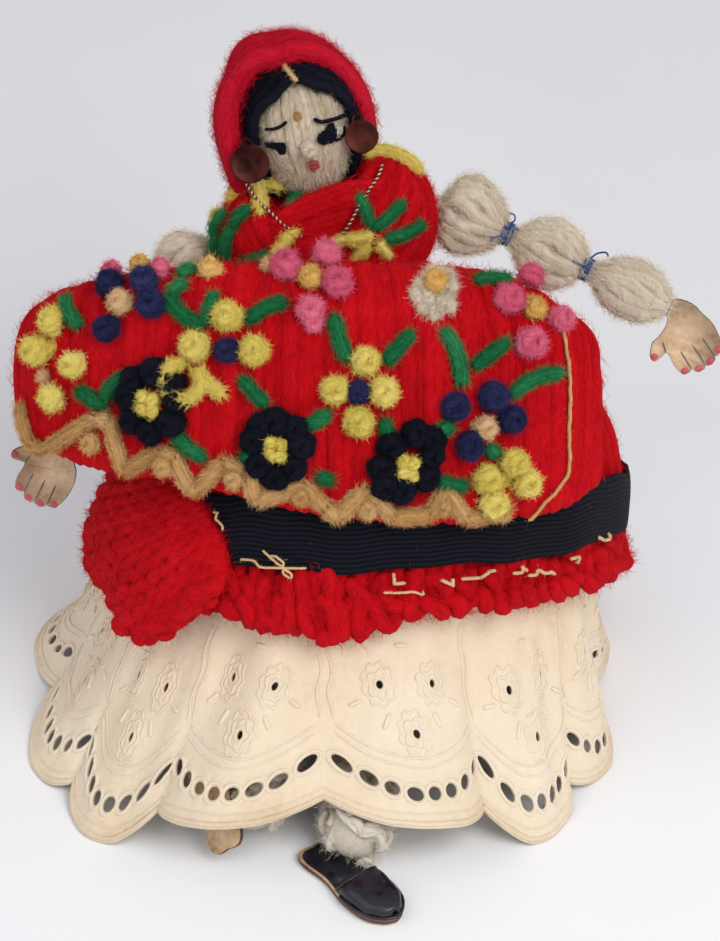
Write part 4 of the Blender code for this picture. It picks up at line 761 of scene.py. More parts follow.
def make_tape():
    """The woven tape sewn round the skirt, slightly uneven along its edges."""
    pile = Pile()
    columns, rows = 220, 10
    outer, inner, fibre = [], [], []
    for k in range(columns):
        angle = math.tau * k / columns
        slack = 0.006 * math.sin(angle * 9 + 1) + 0.004 * math.sin(angle * 23)
        for row in range(rows):
            across = row / (rows - 1)
            share = TAPE_TOP + slack + (TAPE_BOTTOM - TAPE_TOP) * across
            puff = 0.35 * math.sin(angle * 15) * across
            edge = -0.25 * (2 * across - 1) ** 6
            outer.append(skirt_point(angle, share, TAPE_OUTER + puff + edge, False))
            inner.append(skirt_point(angle, share, TAPE_INNER + puff + edge * 0.4, False))
            fibre.append((angle * TAPE_RIBS_ROUND, across * TAPE_RIBS_ACROSS, 0.0))
    points = rows_of(outer + inner)
    half = columns * rows
    faces = []
    for k in range(columns):
        a, b = k * rows, ((k + 1) % columns) * rows
        for row in range(rows - 1):
            faces.append((a + row, a + row + 1, b + row + 1, b + row))
            faces.append((half + b + row, half + b + row + 1, half + a + row + 1, half + a + row))
        faces.append((a, b, half + b, half + a))
        faces.append((b + rows - 1, a + rows - 1, half + a + rows - 1, half + b + rows - 1))
    pile.add(points, faces, np.array(fibre * 2, float))
    pile.make("tape_band", TAPE, "root", ["skirt_ribbon"])


make_skirt()
make_fan()
make_frill()
make_tape()
# Apron and its embroidery

APRON_HALF_WIDTH, APRON_REACH, APRON_TOP, APRON_DROP, APRON_THICKNESS = 57.0, 34.0, 16.0, 30.0, 3.2
APRON_LEFT_ANGLE, APRON_RIGHT_ANGLE = math.radians(-78), math.radians(60)
APRON_FULL_END_SHARE = 0.55
APRON_REACH_SHARES = (0.40, 0.60, 0.80, 0.94, 1.0, 1.0, 0.972)
APRON_HEIGHT_SHARES = (0.74, 0.98, 0.98, 0.56, -0.13, -0.60, -1.0)
APRON_LEFT_LOSS_SHARES = (0.55, 0.50)
APRON_RIGHT_LOSS_SHARES = (0.70, 0.10)
APRON_CREST_SHARE = 0.3
APRON_SINE_LIMITS = (-0.97, 0.86)
LOWEST_STITCH_SHARE = 0.97
PIXEL = 1 / PIXEL_SCALE
MIDDLE_COLUMN, WAIST_ROW = 325.0, 338.5


def reach_across(reach, angle):
    return math.sin(angle) * (APRON_FULL_END_SHARE + (1 - APRON_FULL_END_SHARE) * reach)


def apron_point(angle, down, lift=0.0):
    """A point on the apron's face in the upper frame."""
    reach = blend_table(APRON_REACH_SHARES, down)
    height = blend_table(APRON_HEIGHT_SHARES, down)
    if angle < 0:
        end = (angle / APRON_LEFT_ANGLE) ** 2
        upper_loss, lower_loss = APRON_LEFT_LOSS_SHARES
    else:
        end = (angle / APRON_RIGHT_ANGLE) ** 3
        upper_loss, lower_loss = APRON_RIGHT_LOSS_SHARES
    if height > 0:
        z = APRON_TOP * height * (1 - upper_loss * end)
    else:
        z = APRON_DROP * height * (1 - lower_loss * end)
    point = Vector((APRON_HALF_WIDTH * reach_across(reach, angle), -APRON_REACH * reach * math.cos(angle), z))
    if lift:
        point += apron_normal(angle, down) * lift
    return point


def apron_normal(angle, down):
    step = 0.01
    low = min(max(down, step), 1 - step)
    along = apron_point(angle + step, low) - apron_point(angle - step, low)
    below = apron_point(angle, low + step) - apron_point(angle, low - step)
    return along.cross(below).normalized() * -1


def apron_place(pixel, lowest=LOWEST_STITCH_SHARE):
    """The angle and the share down the apron that the front view shows at a pixel."""
    x = (pixel[0] - MIDDLE_COLUMN) * PIXEL
    height = (WAIST_ROW - pixel[1]) * PIXEL
    tilt = CAMERA_ELEVATION - LEAN
    low, high = APRON_CREST_SHARE, 1.0
    for _ in range(24):
        down = (low + high) / 2
        reach = blend_table(APRON_REACH_SHARES, down)
        widest = APRON_HALF_WIDTH * (APRON_FULL_END_SHARE + (1 - APRON_FULL_END_SHARE) * reach)
        angle = math.asin(min(max(x / widest, APRON_SINE_LIMITS[0]), APRON_SINE_LIMITS[1]))
        point = apron_point(angle, down)
        if point.z * math.cos(tilt) + point.y * math.sin(tilt) > height:
            low = down
        else:
            high = down
    return angle, min(down, lowest)


# The apron's lower edge in the photograph, followed up its right side.
APRON_EDGE = (
    (20, 412), (40, 442), (75, 462), (140, 476), (200, 482), (260, 500), (320, 513), (380, 521), (450, 523),
    (520, 526), (560, 512), (585, 492),
)
APRON_STRANDS, APRON_SIDES = 54, 10
BARE_RINGS = 5  # a strand's last rings grow no fuzz, so that the edge stays smooth


def make_apron():
    pile = Pile()
    angles = np.linspace(APRON_LEFT_ANGLE, APRON_RIGHT_ANGLE, 200)
    edge = rows_of([apron_point(a, 0.6) for a in angles])
    run = run_along(edge)
    places = np.interp((np.arange(APRON_STRANDS) + 0.5) / APRON_STRANDS * run[-1], run, angles)
    ends = np.array([apron_place(pixel, 0.999) for pixel in APRON_EDGE])
    for layer, depth in enumerate((1.15, 2.6)):
        for k, angle in enumerate(places):
            sway = rng.normal(0, 0.014)
            along = 0.62 if layer == 0 else 1.3
            line, outs = [], []
            for down in np.linspace(0, float(np.interp(angle, ends[:, 0], ends[:, 1])), 26):
                at = angle + sway * math.sin(down * 5 + k * 2) + 0.012 * math.sin(down * 2.2 + k * 0.13)
                lift = -depth + 0.28 * math.sin(k * 2.3 + down * 2) + 0.2 * math.sin(k * 0.7)
                line.append(apron_point(at, down, lift))
                outs.append(apron_normal(at, down))
            path = even_rows(smooth_rows(line, 120), along)
            out = smooth_rows(outs, len(path))
            swell = 1 + 0.07 * np.sin(np.linspace(0, 9, len(path)) + k * 2.7)
            size = 2.1 * rng.uniform(0.85, 1.15) * swell
            pile.roving(moved(UPPER, path), size, rng.uniform(0.4, 0.6), sides=APRON_SIDES, flat=0.6,
                        normals=turned(UPPER, out), turn=rng.uniform(0, 6))
            pile.outward[-1][-BARE_RINGS * APRON_SIDES:] = 0.0
        if layer == 0:
            pile.fuzz(44000, 2.6, width=0.075, lean=0.26, comb=1.0, seed=6)
            pile.fuzz(4000, 1.2, width=0.04, lean=0.55, seed=7)
    pile.make("apron_strands", RED, "root", ["apron"])


RAW_EDGE = (
    (552, 322), (556, 345), (560, 372), (561, 400), (560, 432), (560, 468), (548, 488), (534, 503), (521, 520),
)


def make_raw_edge():
    """The thin pale cut edge along the apron's right side."""
    pile = Pile()
    line, outs = [], []
    for pixel in smooth_rows(RAW_EDGE, 60):
        angle, down = apron_place(pixel, 0.995)
        line.append(apron_point(angle, down, 1.0 + 0.12 * math.sin(pixel[1] * 0.35)))
        outs.append(apron_normal(angle, down))
    pile.tube(moved(UPPER, rows_of(line)), 0.34, 0.6, sides=7, pitch=1.6, normals=turned(UPPER, rows_of(outs)))
    pile.fuzz(260, 0.8, width=0.04, lean=0.7, seed=26)
    pile.make("apron_raw_edge", TAN, "root")


def apron_spot(pixel, lift=0.0):
    """Where a pixel lies on the apron, with the direction out of it, in the doll's layout."""
    place = apron_place(pixel)
    normal = apron_normal(*place)
    point = apron_point(*place) + normal * lift
    return moved(UPPER, tuple(point)), turned(UPPER, tuple(normal))


def laid(pixels, spot, lift):
    """Where pixels lie on a surface, with the directions out of it."""
    places, outs = zip(*(spot(pixel, lift) for pixel in pixels))
    return np.array(places), np.array(outs)


KNOT_TURNS = 2.3


def knot(pile, place, out, size=2.25, tone=0.5, long=1.0):
    """A French knot: yarn wound round itself into a low button, its end tucked into the middle with a darker tone as
    painted shade.
    """
    side = unit(np.cross(out, (0.3, 0.2, 1.0)))
    other = np.cross(side, out)
    turn = rng.uniform(0, math.tau)
    yarn = size * 0.47
    t = np.linspace(0, 1, 46)
    angle = turn + t * math.tau * KNOT_TURNS
    spread = (size - yarn * 0.95) * (1 - 0.62 * t**1.5)
    height = yarn * 0.55 + size * 0.95 * t**0.9 + 0.12 * np.sin(angle * 2)
    path = (place + out * height[:, None] + side * (spread * np.cos(angle) * long)[:, None]
            + other * (spread * np.sin(angle))[:, None])
    path += unit(rng.normal(0, 1, 3)) * 0.25 * np.sin(t * 9 + turn)[:, None]
    pile.tube(even_rows(path, 0.3), yarn, tone, sides=7, pitch=3.4, cut=0.22, turn=turn)
    # The tucked-in end is darker: painted shade in the knot's hollow.
    core = np.linspace(0, 1, 5)[:, None] * out * size * 0.9 + place
    pile.tube(core, size * 0.55, tone * 0.6, sides=7, pitch=3.0, cut=0.1)


def stitch(pile, start, end, size, spot, tone=0.5, arch=0.7, bend=0.0):
    """One straight yarn stitch between two places on a surface, proud in the middle and tucked in at its ends."""
    line, outs = [], []
    for share in np.linspace(0, 1, 9):
        swing = bend * math.sin(math.pi * share)
        pixel = (start[0] + (end[0] - start[0]) * share - (end[1] - start[1]) * swing,
                 start[1] + (end[1] - start[1]) * share + (end[0] - start[0]) * swing)
        point, out = spot(pixel)
        lift = size * (0.2 + arch * math.sin(math.pi * min(max(share, 0.04), 0.96)) ** 0.5)
        line.append(point + out * lift)
        outs.append(out)
    path = smooth_path(line, 40, 0.35)
    pile.tube(path, size, tone, sides=8, pitch=6.5, cut=0.14, normals=smooth_rows(np.array(outs), len(path)),
              turn=rng.uniform(0, 6))


def stitches(pile, table, size, spot):
    for start, end, bend in table:
        stitch(pile, start, end, size * rng.uniform(0.92, 1.1), spot, rng.uniform(0.3, 0.7), bend=bend)


# Each flower's name, the wool and slot of its petals and of its heart, the heart's pixel and the petals' pixels.
FLOWERS = (
    ("top_left", NAVY, "navy_wool", PEACH, "tan_wool", (132, 309), ((122, 293), (155, 290), (162, 311), (120, 333))),
    ("yellow_outer", YELLOW, "yellow_wool", None, None, (61, 350), ((68, 325), (50, 352), (87, 366), (66, 397))),
    ("black_left", INK, "dark_wool", YELLOW, "yellow_wool", (160, 403),
     ((165, 374), (141, 397), (188, 401), (161, 431), (146, 380), (182, 384), (144, 420), (180, 422))),
    ("yellow_left", YELLOW, "yellow_wool", NAVY, "navy_wool", (234, 354), ((235, 323), (260, 354), (204, 350))),
    ("pink_middle", PINK, "pink_wool", ORANGE, "yellow_wool", (313, 288),
     ((290, 278), (328, 268), (338, 293), (313, 317))),
    ("black_middle", INK, "dark_wool", YELLOW, "yellow_wool", (280, 446),
     ((281, 421), (259, 438), (304, 444), (281, 474), (266, 424), (299, 427), (264, 462), (298, 464))),
    ("yellow_middle", YELLOW, "yellow_wool", NAVY, "navy_wool", (358, 393),
     ((365, 364), (336, 391), (382, 393), (359, 421))),
    ("cream", CREAM, "cream_wool", ORANGE, "yellow_wool", (431, 291), ()),
    ("black_right", INK, "dark_wool", YELLOW, "yellow_wool", (404, 464),
     ((412, 433), (380, 464), (428, 452), (400, 486), (390, 444), (427, 438), (384, 482), (422, 474))),
    ("navy_right", NAVY, "navy_wool", PEACH, "tan_wool", (478, 427),
     ((450, 407), (485, 397), (504, 419), (463, 444))),
    ("pink_right", PINK, "pink_wool", ORANGE, "yellow_wool", (524, 315),
     ((500, 307), (522, 289), (550, 325), (522, 346))),
    ("yellow_right", YELLOW, "yellow_wool", None, None, (496, 478), ((480, 476), (506, 460), (518, 479), (486, 499))),
)


def node_for(name):
    return "apron_flowers_top_left" if name == "top_left" else "apron_flower_" + name


def make_flowers():
    for name, petal_wool, slot_name, heart_wool, heart_slot, heart, petals in FLOWERS:
        pile = Pile()
        black = petal_wool is INK
        for pixel in petals:
            place, out = apron_spot(pixel, 0.1)
            knot(pile, place, out, rng.uniform(2.6, 2.9 if black else 2.95), rng.uniform(0.3, 0.7),
                 rng.uniform(0.85, 1.15))
        if name == "cream":
            for k in range(20):
                around, far = k * 2.4, 5 + 14 * math.sqrt(k / 20)
                pixel = (431 + far * math.cos(around), 299 + 1.15 * far * math.sin(around))
                knot(pile, *apron_spot(pixel, -0.2), rng.uniform(1.0, 1.5), rng.uniform(0.3, 0.9))
        if not heart_wool:
            knot(pile, *apron_spot(heart, -0.8), 1.6, 0.3)
        pile.fuzz(9000, 1.7 if name == "cream" else 1.25, width=0.06, lean=0.5, comb=0.6, seed=20)
        pile.make(node_for(name) + "_knots", petal_wool, "root", [node_for(name)])
        if heart_wool:
            middle = Pile()
            if black:
                for dx, dy in ((-4, -6), (5, -3), (-4, 5), (5, 7)):
                    knot(middle, *apron_spot((heart[0] + dx, heart[1] + dy), 1.5), 1.45, rng.uniform(0.3, 0.7))
            else:
                knot(middle, *apron_spot(heart, 0.2), 2.35, 0.5)
            middle.fuzz(1800, 1.1, width=0.055, lean=0.5, comb=0.6, seed=21)
            middle.make(node_for(name) + "_heart", heart_wool, "root")


LONE_KNOTS = (
    ("far_pink", PINK, "pink_wool", ((122, 283), (169, 279)), 2.1),
    ("warm", ORANGE, "yellow_wool", ((149, 277), (217, 279)), 2.1),
    ("beige", PEACH, "tan_wool", ((273, 275), (55, 377)), 1.2),
    ("pink_low", PINK, "pink_wool", ((316, 328),), 1.9),
    ("tan", TAN, "tan_wool",
     ((103, 442), (173, 464), (241, 476), (304, 493), (367, 505), (439, 503), (494, 509)), 1.9),
)

# Each stitch's two ends, and how far it bows aside.
GREEN_STEMS = (
    ((77, 301), (92, 329), 0.15), ((141, 376), (114, 401), 0.1), ((88, 391), (116, 409), -0.05),
    ((177, 303), (212, 331), 0.1), ((222, 299), (212, 331), 0.0), ((178, 300), (194, 290), 0.0),
    ((186, 281), (201, 276), 0.1), ((253, 327), (290, 309), -0.1), ((247, 380), (271, 407), 0.0),
    ((183, 435), (212, 458), 0.0), ((246, 456), (261, 456), 0.0), ((310, 427), (331, 413), 0.0),
    ((335, 321), (349, 364), 0.05), ((410, 336), (384, 366), 0.0), ((439, 333), (457, 387), -0.08),
    ((502, 344), (467, 370), 0.0), ((555, 374), (504, 397), 0.12), ((382, 419), (390, 444), 0.0),
    ((427, 436), (449, 423), 0.0), ((320, 474), (335, 478), 0.0), ((422, 476), (463, 484), 0.0),
    ((480, 448), (492, 452), 0.0), ((470, 287), (504, 286), 0.0),
)
ZIGZAG = (
    (30, 403), (41, 444), (57, 448), (108, 417), (120, 419), (134, 470), (169, 450), (183, 456), (198, 486),
    (204, 488), (230, 460), (255, 470), (261, 497), (306, 482), (328, 505), (339, 513), (365, 487), (392, 513),
    (427, 511), (441, 487), (461, 515), (480, 513), (504, 501),
)
LOOP = (
    (196, 366), (184, 368), (178, 380), (182, 393), (194, 399), (206, 394), (212, 382), (208, 370), (212, 380),
    (222, 390), (232, 396),
)


def make_stitches():
    for name, finish, slot_name, places, size in LONE_KNOTS:
        pile = Pile()
        for pixel in places:
            knot(pile, *apron_spot(pixel, 0.1), size * rng.uniform(0.92, 1.08), rng.uniform(0.35, 0.7))
        pile.fuzz(1100 * len(places), 1.2, width=0.06, lean=0.5, comb=0.6, seed=22)
        pile.make("apron_knots_" + name, finish, "root")
    pile = Pile()
    stitches(pile, GREEN_STEMS, 1.1, apron_spot)
    pile.fuzz(22000, 1.6, width=0.06, lean=0.3, comb=0.9, seed=23)
    pile.make("apron_stems", GREEN, "root")
    pile = Pile()
    for start, end in zip(ZIGZAG, ZIGZAG[1:]):
        stitch(pile, start, end, 1.2 * rng.uniform(0.9, 1.1), apron_spot, rng.uniform(0.3, 0.7))
    pile.fuzz(30000, 1.5, width=0.065, lean=0.28, comb=1.0, seed=24)
    pile.make("apron_zigzag_yarn", TAN, "root", ["apron_zigzag"])
    pile = Pile()
    ring, outs = [], []
    for k, pixel in enumerate(LOOP):
        place, out = apron_spot(pixel, 2.6 if 0 < k < 9 else 1.4)
        ring.append(place)
        outs.append(out)
    path = smooth_path(ring, 90, 0.35)
    pile.tube(path, 1.15, 0.5, pitch=3.4, cut=0.24, normals=smooth_rows(np.array(outs), len(path)))
    pile.fuzz(3500, 1.4, width=0.06, lean=0.4, comb=0.8, seed=25)
    pile.make("apron_yellow_loop", YELLOW, "root")


make_apron()
make_raw_edge()
make_flowers()
make_stitches()
# Shawl, neck and necklace

SHAWL_LEFT_MIDDLE, SHAWL_LEFT_HALF = Vector((-10.3, -1.0, 19.5)), Vector((9.0, 7.5, 9.3))
SHAWL_RIGHT_MIDDLE, SHAWL_RIGHT_HALF = Vector((9.7, -1.2, 22.0)), Vector((10.5, 8.0, 12.3))
SHAWL_RIM_SHARE = 0.97
NECK_X, NECK_LENGTH, CORE_TOP = -2.5, 4.6, 21.0
HEAD_HALF = Vector((8.2, 9.2, 12.0))
HEAD_ROLL = math.radians(-11)
HEAD_MIDDLE = Vector((0.0, -1.5, 2 * GAP + 12.0 * 0.98))
HEAD = (UPPER @ Matrix.Translation((NECK_X, 0.0, CORE_TOP + GAP)) @ Matrix.Translation((0.0, 0.0, NECK_LENGTH))
        @ Matrix.Rotation(HEAD_ROLL, 4, "Y"))
HAIR_THICKNESS, SCARF_THICKNESS = 1.8, 3.4


def ellipsoid_front(middle, half, x, z):
    across, up = (x - middle.x) / half.x, (z - middle.z) / half.z
    size = math.hypot(across, up)
    if size > SHAWL_RIM_SHARE:
        across, up = across * SHAWL_RIM_SHARE / size, up * SHAWL_RIM_SHARE / size
    ahead = -math.sqrt(1 - across * across - up * up)
    point = middle + Vector((half.x * across, half.y * ahead, half.z * up))
    return point, Vector((across / half.x, ahead / half.y, up / half.z)).normalized()


def shawl_surface(x, z):
    middle_line = (SHAWL_LEFT_MIDDLE.x + SHAWL_LEFT_HALF.x + SHAWL_RIGHT_MIDDLE.x - SHAWL_RIGHT_HALF.x) / 2
    if x < middle_line:
        return ellipsoid_front(SHAWL_LEFT_MIDDLE, SHAWL_LEFT_HALF, x, z)
    return ellipsoid_front(SHAWL_RIGHT_MIDDLE, SHAWL_RIGHT_HALF, x, z)


def shawl_place(pixel):
    """Where a pixel lies on the shawl, with the direction out of it, in the upper frame."""
    x = (pixel[0] - MIDDLE_COLUMN) * PIXEL
    height = (WAIST_ROW - pixel[1]) * PIXEL
    tilt = CAMERA_ELEVATION - LEAN
    z = height
    for _ in range(4):  # the height depends on how far forward the shawl lies there
        z = (height - shawl_surface(x, z)[0].y * math.sin(tilt)) / math.cos(tilt)
    return shawl_surface(x, z)


def shawl_spot(pixel, lift=0.0):
    """The same in the doll's layout."""
    point, normal = shawl_place(pixel)
    return moved(UPPER, tuple(point + normal * lift)), turned(UPPER, tuple(normal))


def clear_of_head(points, room=1.2):
    """Points of the upper frame, pushed out of the space that the head and its scarf turn in."""
    to_head = np.array((UPPER.inverted() @ HEAD).inverted())
    back = np.array(UPPER.inverted() @ HEAD)
    local = points @ to_head[:3, :3].T + to_head[:3, 3]
    half = np.array(tuple(HEAD_HALF)) + HAIR_THICKNESS + SCARF_THICKNESS + room
    scaled = (local - np.array(tuple(HEAD_MIDDLE))) / half
    size = np.linalg.norm(scaled, axis=1)
    inside = size < 1
    scaled[inside] /= size[inside, None]
    local = scaled * half + np.array(tuple(HEAD_MIDDLE))
    return local @ back[:3, :3].T + back[:3, 3]


def make_bundle(name, middle, half, pole, count, seed):
    """Thick strands laid side by side round a bundle, gathered at its two ends."""
    pile = Pile()
    pole = Vector(pole).normalized()
    side = pole.cross(Vector((0, 1, 0))).normalized()
    other = side.cross(pole)
    for layer, (shrink, strands) in enumerate(((1.0, count), (0.72, count // 2))):
        for k in range(strands):
            around = math.tau * (k + 0.5 * layer) / strands
            line = []
            for polar in np.linspace(0.14, math.pi - 0.14, 22):
                swing = around + 0.12 * math.sin(polar * 2 + k) + 0.35 * (polar / math.pi - 0.5)
                way = pole * math.cos(polar) + (side * math.cos(swing) + other * math.sin(swing)) * math.sin(polar)
                lift = 0.25 * math.sin(k * 2.1 + polar * 3)
                line.append(middle + Vector([(half[axis] * shrink - 1.1 + lift) * way[axis] for axis in range(3)]))
            path = clear_of_head(smooth_path(line, 70, 0.6))
            place = np.linspace(0, 1, len(path))
            size = 1.75 * (0.4 + 0.6 * np.sin(math.pi * place) ** 0.5) * rng.uniform(0.92, 1.12)
            outs = path - np.array(tuple(middle))
            pile.roving(moved(UPPER, path), size, rng.uniform(0.4, 0.6), flat=0.68, normals=turned(UPPER, outs),
                        round_ends=False)
    pile.fuzz(24000, 2.4, width=0.07, lean=0.28, comb=1.0, seed=seed)
    pile.fuzz(3500, 1.4, width=0.04, lean=0.55, seed=seed + 5)
    pile.make(name + "_yarn", RED, "root", [name])


def make_crossing():
    """The shawl's ends laid over each other under the chin, from the right shoulder down to the left."""
    pile = Pile()
    for k in range(15):
        share = k / 14
        line = []
        for t in np.linspace(0, 1, 18):
            x = 11.5 - 21.0 * t - 2.0 * share
            z = 28.2 - 17.0 * share - 7.0 * t**1.6 + 1.0 * math.sin(math.pi * t) * (1 - share)
            y = -4.5 - 3.0 * (1 - share) ** 2 - 0.8 * math.sin(math.pi * t) + 0.2 * math.sin(k * 2.3 + t * 4)
            line.append((x, y, z))
        path = clear_of_head(smooth_path(line, 60, 0.6), 1.7 - HAIR_THICKNESS - SCARF_THICKNESS)
        pile.roving(moved(UPPER, path), 1.5 * rng.uniform(0.92, 1.1), rng.uniform(0.4, 0.6))
    pile.fuzz(11000, 2.2, width=0.07, lean=0.28, comb=1.0, seed=37)
    pile.make("shawl_crossing", RED, "root")


# Each stitch's two ends, and how far it bows aside.
SHAWL_GREEN = (
    ((360, 195), (372, 230), 0.0), ((373, 232), (402, 205), 0.05), ((385, 242), (421, 225), 0.05),
    ((230, 215), (219, 240), 0.1), ((221, 236), (229, 262), 0.1), ((253, 212), (236, 232), 0.08),
    ((237, 230), (231, 262), 0.1), ((234, 272), (270, 255), -0.05), ((290, 216), (301, 196), -0.1),
)
SHAWL_YELLOW = (
    ((273, 256), (289, 234), 0.1), ((286, 236), (302, 228), 0.1), ((322, 254), (350, 240), -0.08),
    ((347, 241), (374, 237), 0.05), ((355, 270), (371, 246), -0.1), ((378, 244), (389, 260), -0.05),
)
TRIM_RIGHT = ((366, 156), (372, 149), (386, 145), (400, 144), (413, 151), (422, 168))
TRIM_LEFT = ((226, 196), (232, 188), (242, 182), (256, 180), (270, 182), (282, 187))
TRIM_DROP = ((259, 190), (262, 200), (260, 214))


def trim(pile, pixels, size, lift=0.5):
    pile.tube(smooth_path(laid(pixels, shawl_spot, lift)[0], 60, 0.35), size, rng.uniform(0.4, 0.7), sides=8,
              pitch=3.6, cut=0.26, turn=rng.uniform(0, 6))


def make_shawl():
    make_bundle("shawl_right", SHAWL_RIGHT_MIDDLE, SHAWL_RIGHT_HALF, (0.35, -0.1, 1.0), 26, 31)
    make_bundle("shawl_left", SHAWL_LEFT_MIDDLE, SHAWL_LEFT_HALF, (-0.75, -0.1, 1.0), 23, 32)
    make_crossing()
    pile = Pile()
    stitches(pile, SHAWL_GREEN, 1.0, shawl_spot)
    pile.fuzz(7000, 1.3, width=0.06, lean=0.28, comb=1.0, seed=33)
    pile.make("shawl_green_stitches", GREEN, "root")
    pile = Pile()
    stitches(pile, SHAWL_YELLOW, 0.95, shawl_spot)
    for pixels, size in ((TRIM_RIGHT, 1.25), (TRIM_LEFT, 1.35), (TRIM_DROP, 1.05)):
        trim(pile, pixels, size)
        trim(pile, [(x + 2, y + 5) for x, y in pixels], size * 0.8, 0.2)
    knot(pile, *shawl_spot((215, 216), -0.3), 1.5)
    pile.fuzz(10000, 1.4, width=0.06, lean=0.3, comb=1.0, seed=34)
    pile.make("shawl_yellow_stitches", YELLOW, "root")
    pile = Pile()
    for pixel in ((380, 270), (391, 272)):
        knot(pile, *shawl_spot(pixel, 0.2), 1.8, 0.6)
    pile.fuzz(120, 0.9, seed=35)
    pile.make("shawl_lime_knot", LIME, "root")
    pile = Pile()
    loop = laid(((303, 200), (304, 193), (309, 189), (316, 189), (321, 194)), shawl_spot, 1.6)[0]
    pile.tube(smooth_path(loop, 40, 0.25), 0.38, 0.3, sides=7, pitch=1.6, cut=0.2)
    pile.make("collar_thread_loop", INK, "root")


NECKLACE_PIXELS = (
    (382, 172), (380, 178), (377, 185), (370, 195), (360, 212), (350, 230), (340, 243), (330, 252),
    (318, 254), (308, 246), (296, 236), (284, 229), (272, 217), (262, 208), (252, 193), (246, 180),
)
NECKLACE_RADIUS = 0.45
NECKLACE_FRONT_SHARE = 0.85
CHAIN_PITCH, CHAIN_STEP, CHAIN_SIDES = 0.95, 0.1, 10


def necklace_route():
    points = []
    for pixel in NECKLACE_PIXELS:
        point, normal = shawl_place(pixel)
        point = point + normal * (2 * GAP + NECKLACE_RADIUS)
        point.y = min(point.y, -SHAWL_LEFT_HALF.y * NECKLACE_FRONT_SHARE)
        points.append(tuple(point))
    return moved(UPPER, smooth_rows(points, 44))


def make_necklace():
    """Two copper threads twisted into a fine chain, with a painted spiral of highlight and shade along the twist."""
    route = necklace_route()
    path = smooth_path(route, 300, CHAIN_STEP)
    round_it = math.tau * np.arange(CHAIN_SIDES) / CHAIN_SIDES
    along = math.tau * CHAIN_STEP * np.arange(len(path)) / CHAIN_PITCH
    # Painted highlight: the tone is bright on one side of the chain and dark on the other, turning with the twist.
    tone = 0.5 + 0.5 * np.cos(round_it[None, :] - along[:, None])
    pile = Pile()
    pile.tube(path, 0.34, tone.ravel(), sides=CHAIN_SIDES, plies=2, pitch=CHAIN_PITCH, cut=0.5)
    made = pile.make("necklace_chain", CHAIN, "root", ["necklace"])


def make_neck():
    pile = Pile()
    neck = UPPER @ Matrix.Translation((NECK_X, 0.0, CORE_TOP + GAP))
    for k in range(12):
        angle = math.tau * k / 12
        line = [(2.5 * math.cos(angle + 0.1 * z), 2.5 * math.sin(angle + 0.1 * z), z)
                for z in np.linspace(0, NECK_LENGTH, 9)]
        pile.tube(moved(neck, line), 0.85, rng.uniform(0.3, 0.7), sides=8, pitch=3.4, round_ends=False)
    pile.fuzz(300, 1.0, seed=36)
    pile.make("neck_yarn", CREAM, "root", ["neck"])
    pile = Pile()
    for turn_number in range(26):
        z = -26.0 + turn_number * 1.78
        line = []
        wide = 8.0 * (0.8 if z < -10 else 1.0)
        for k in range(25):
            angle = math.tau * k / 24
            line.append(((wide - 0.95) * math.cos(angle), (4.2 - 0.95) * math.sin(angle), z + 0.8 * k / 24))
        pile.tube(moved(UPPER, line), 0.95, rng.uniform(0.3, 0.7), sides=7, pitch=3.4, round_ends=False)
    pile.make("core_winding", RED, "root", ["body_core"])


make_shawl()
make_necklace()
make_neck()
# Head

# The face looks a little to its left: it and the hair lie to one side in the scarf.
FACE_ASIDE = Vector((1.1, 0.0, 0.0))
# The camera stands near, so it shows the face's front this many pixels higher than a far one would.
FACE_ROWS_DOWN = 3.5


def head_spot(pixel, half_outward=0.0, lift=0.0):
    """Where a pixel lies on the head, with the direction out of it, in the doll's layout."""
    tilt = CAMERA_ELEVATION - LEAN
    x = (pixel[0] - MIDDLE_COLUMN) * PIXEL - NECK_X
    z = (WAIST_ROW - pixel[1]) * PIXEL + HEAD_HALF.y * math.sin(tilt) - (CORE_TOP + GAP + NECK_LENGTH)
    flat = Matrix.Rotation(-HEAD_ROLL, 3, "Y") @ Vector((x, 0.0, z))
    half = HEAD_HALF + Vector((half_outward,) * 3)
    point, normal = ellipsoid_front(HEAD_MIDDLE + FACE_ASIDE, half, flat.x, flat.z)
    return moved(HEAD, tuple(point + normal * lift)), turned(HEAD, tuple(normal))


def face_spot(pixel, lift=0.0):
    return head_spot((pixel[0], pixel[1] + FACE_ROWS_DOWN), lift)


def hair_spot(pixel, lift=0.0):
    return head_spot(pixel, 2 * GAP + HAIR_THICKNESS + lift)


def on_head(turn, polar, half):
    """A point of the head's frame: polar 0 faces forward, turn 0 is the crown."""
    out = math.sin(polar)
    return HEAD_MIDDLE + Vector(
        (half.x * out * math.sin(turn), -half.y * math.cos(polar), half.z * out * math.cos(turn)))


def bowl_rim(turn, starts):
    top, side, bottom = starts
    toward_top = math.cos(turn)
    return side + ((top if toward_top > 0 else bottom) - side) * toward_top**2


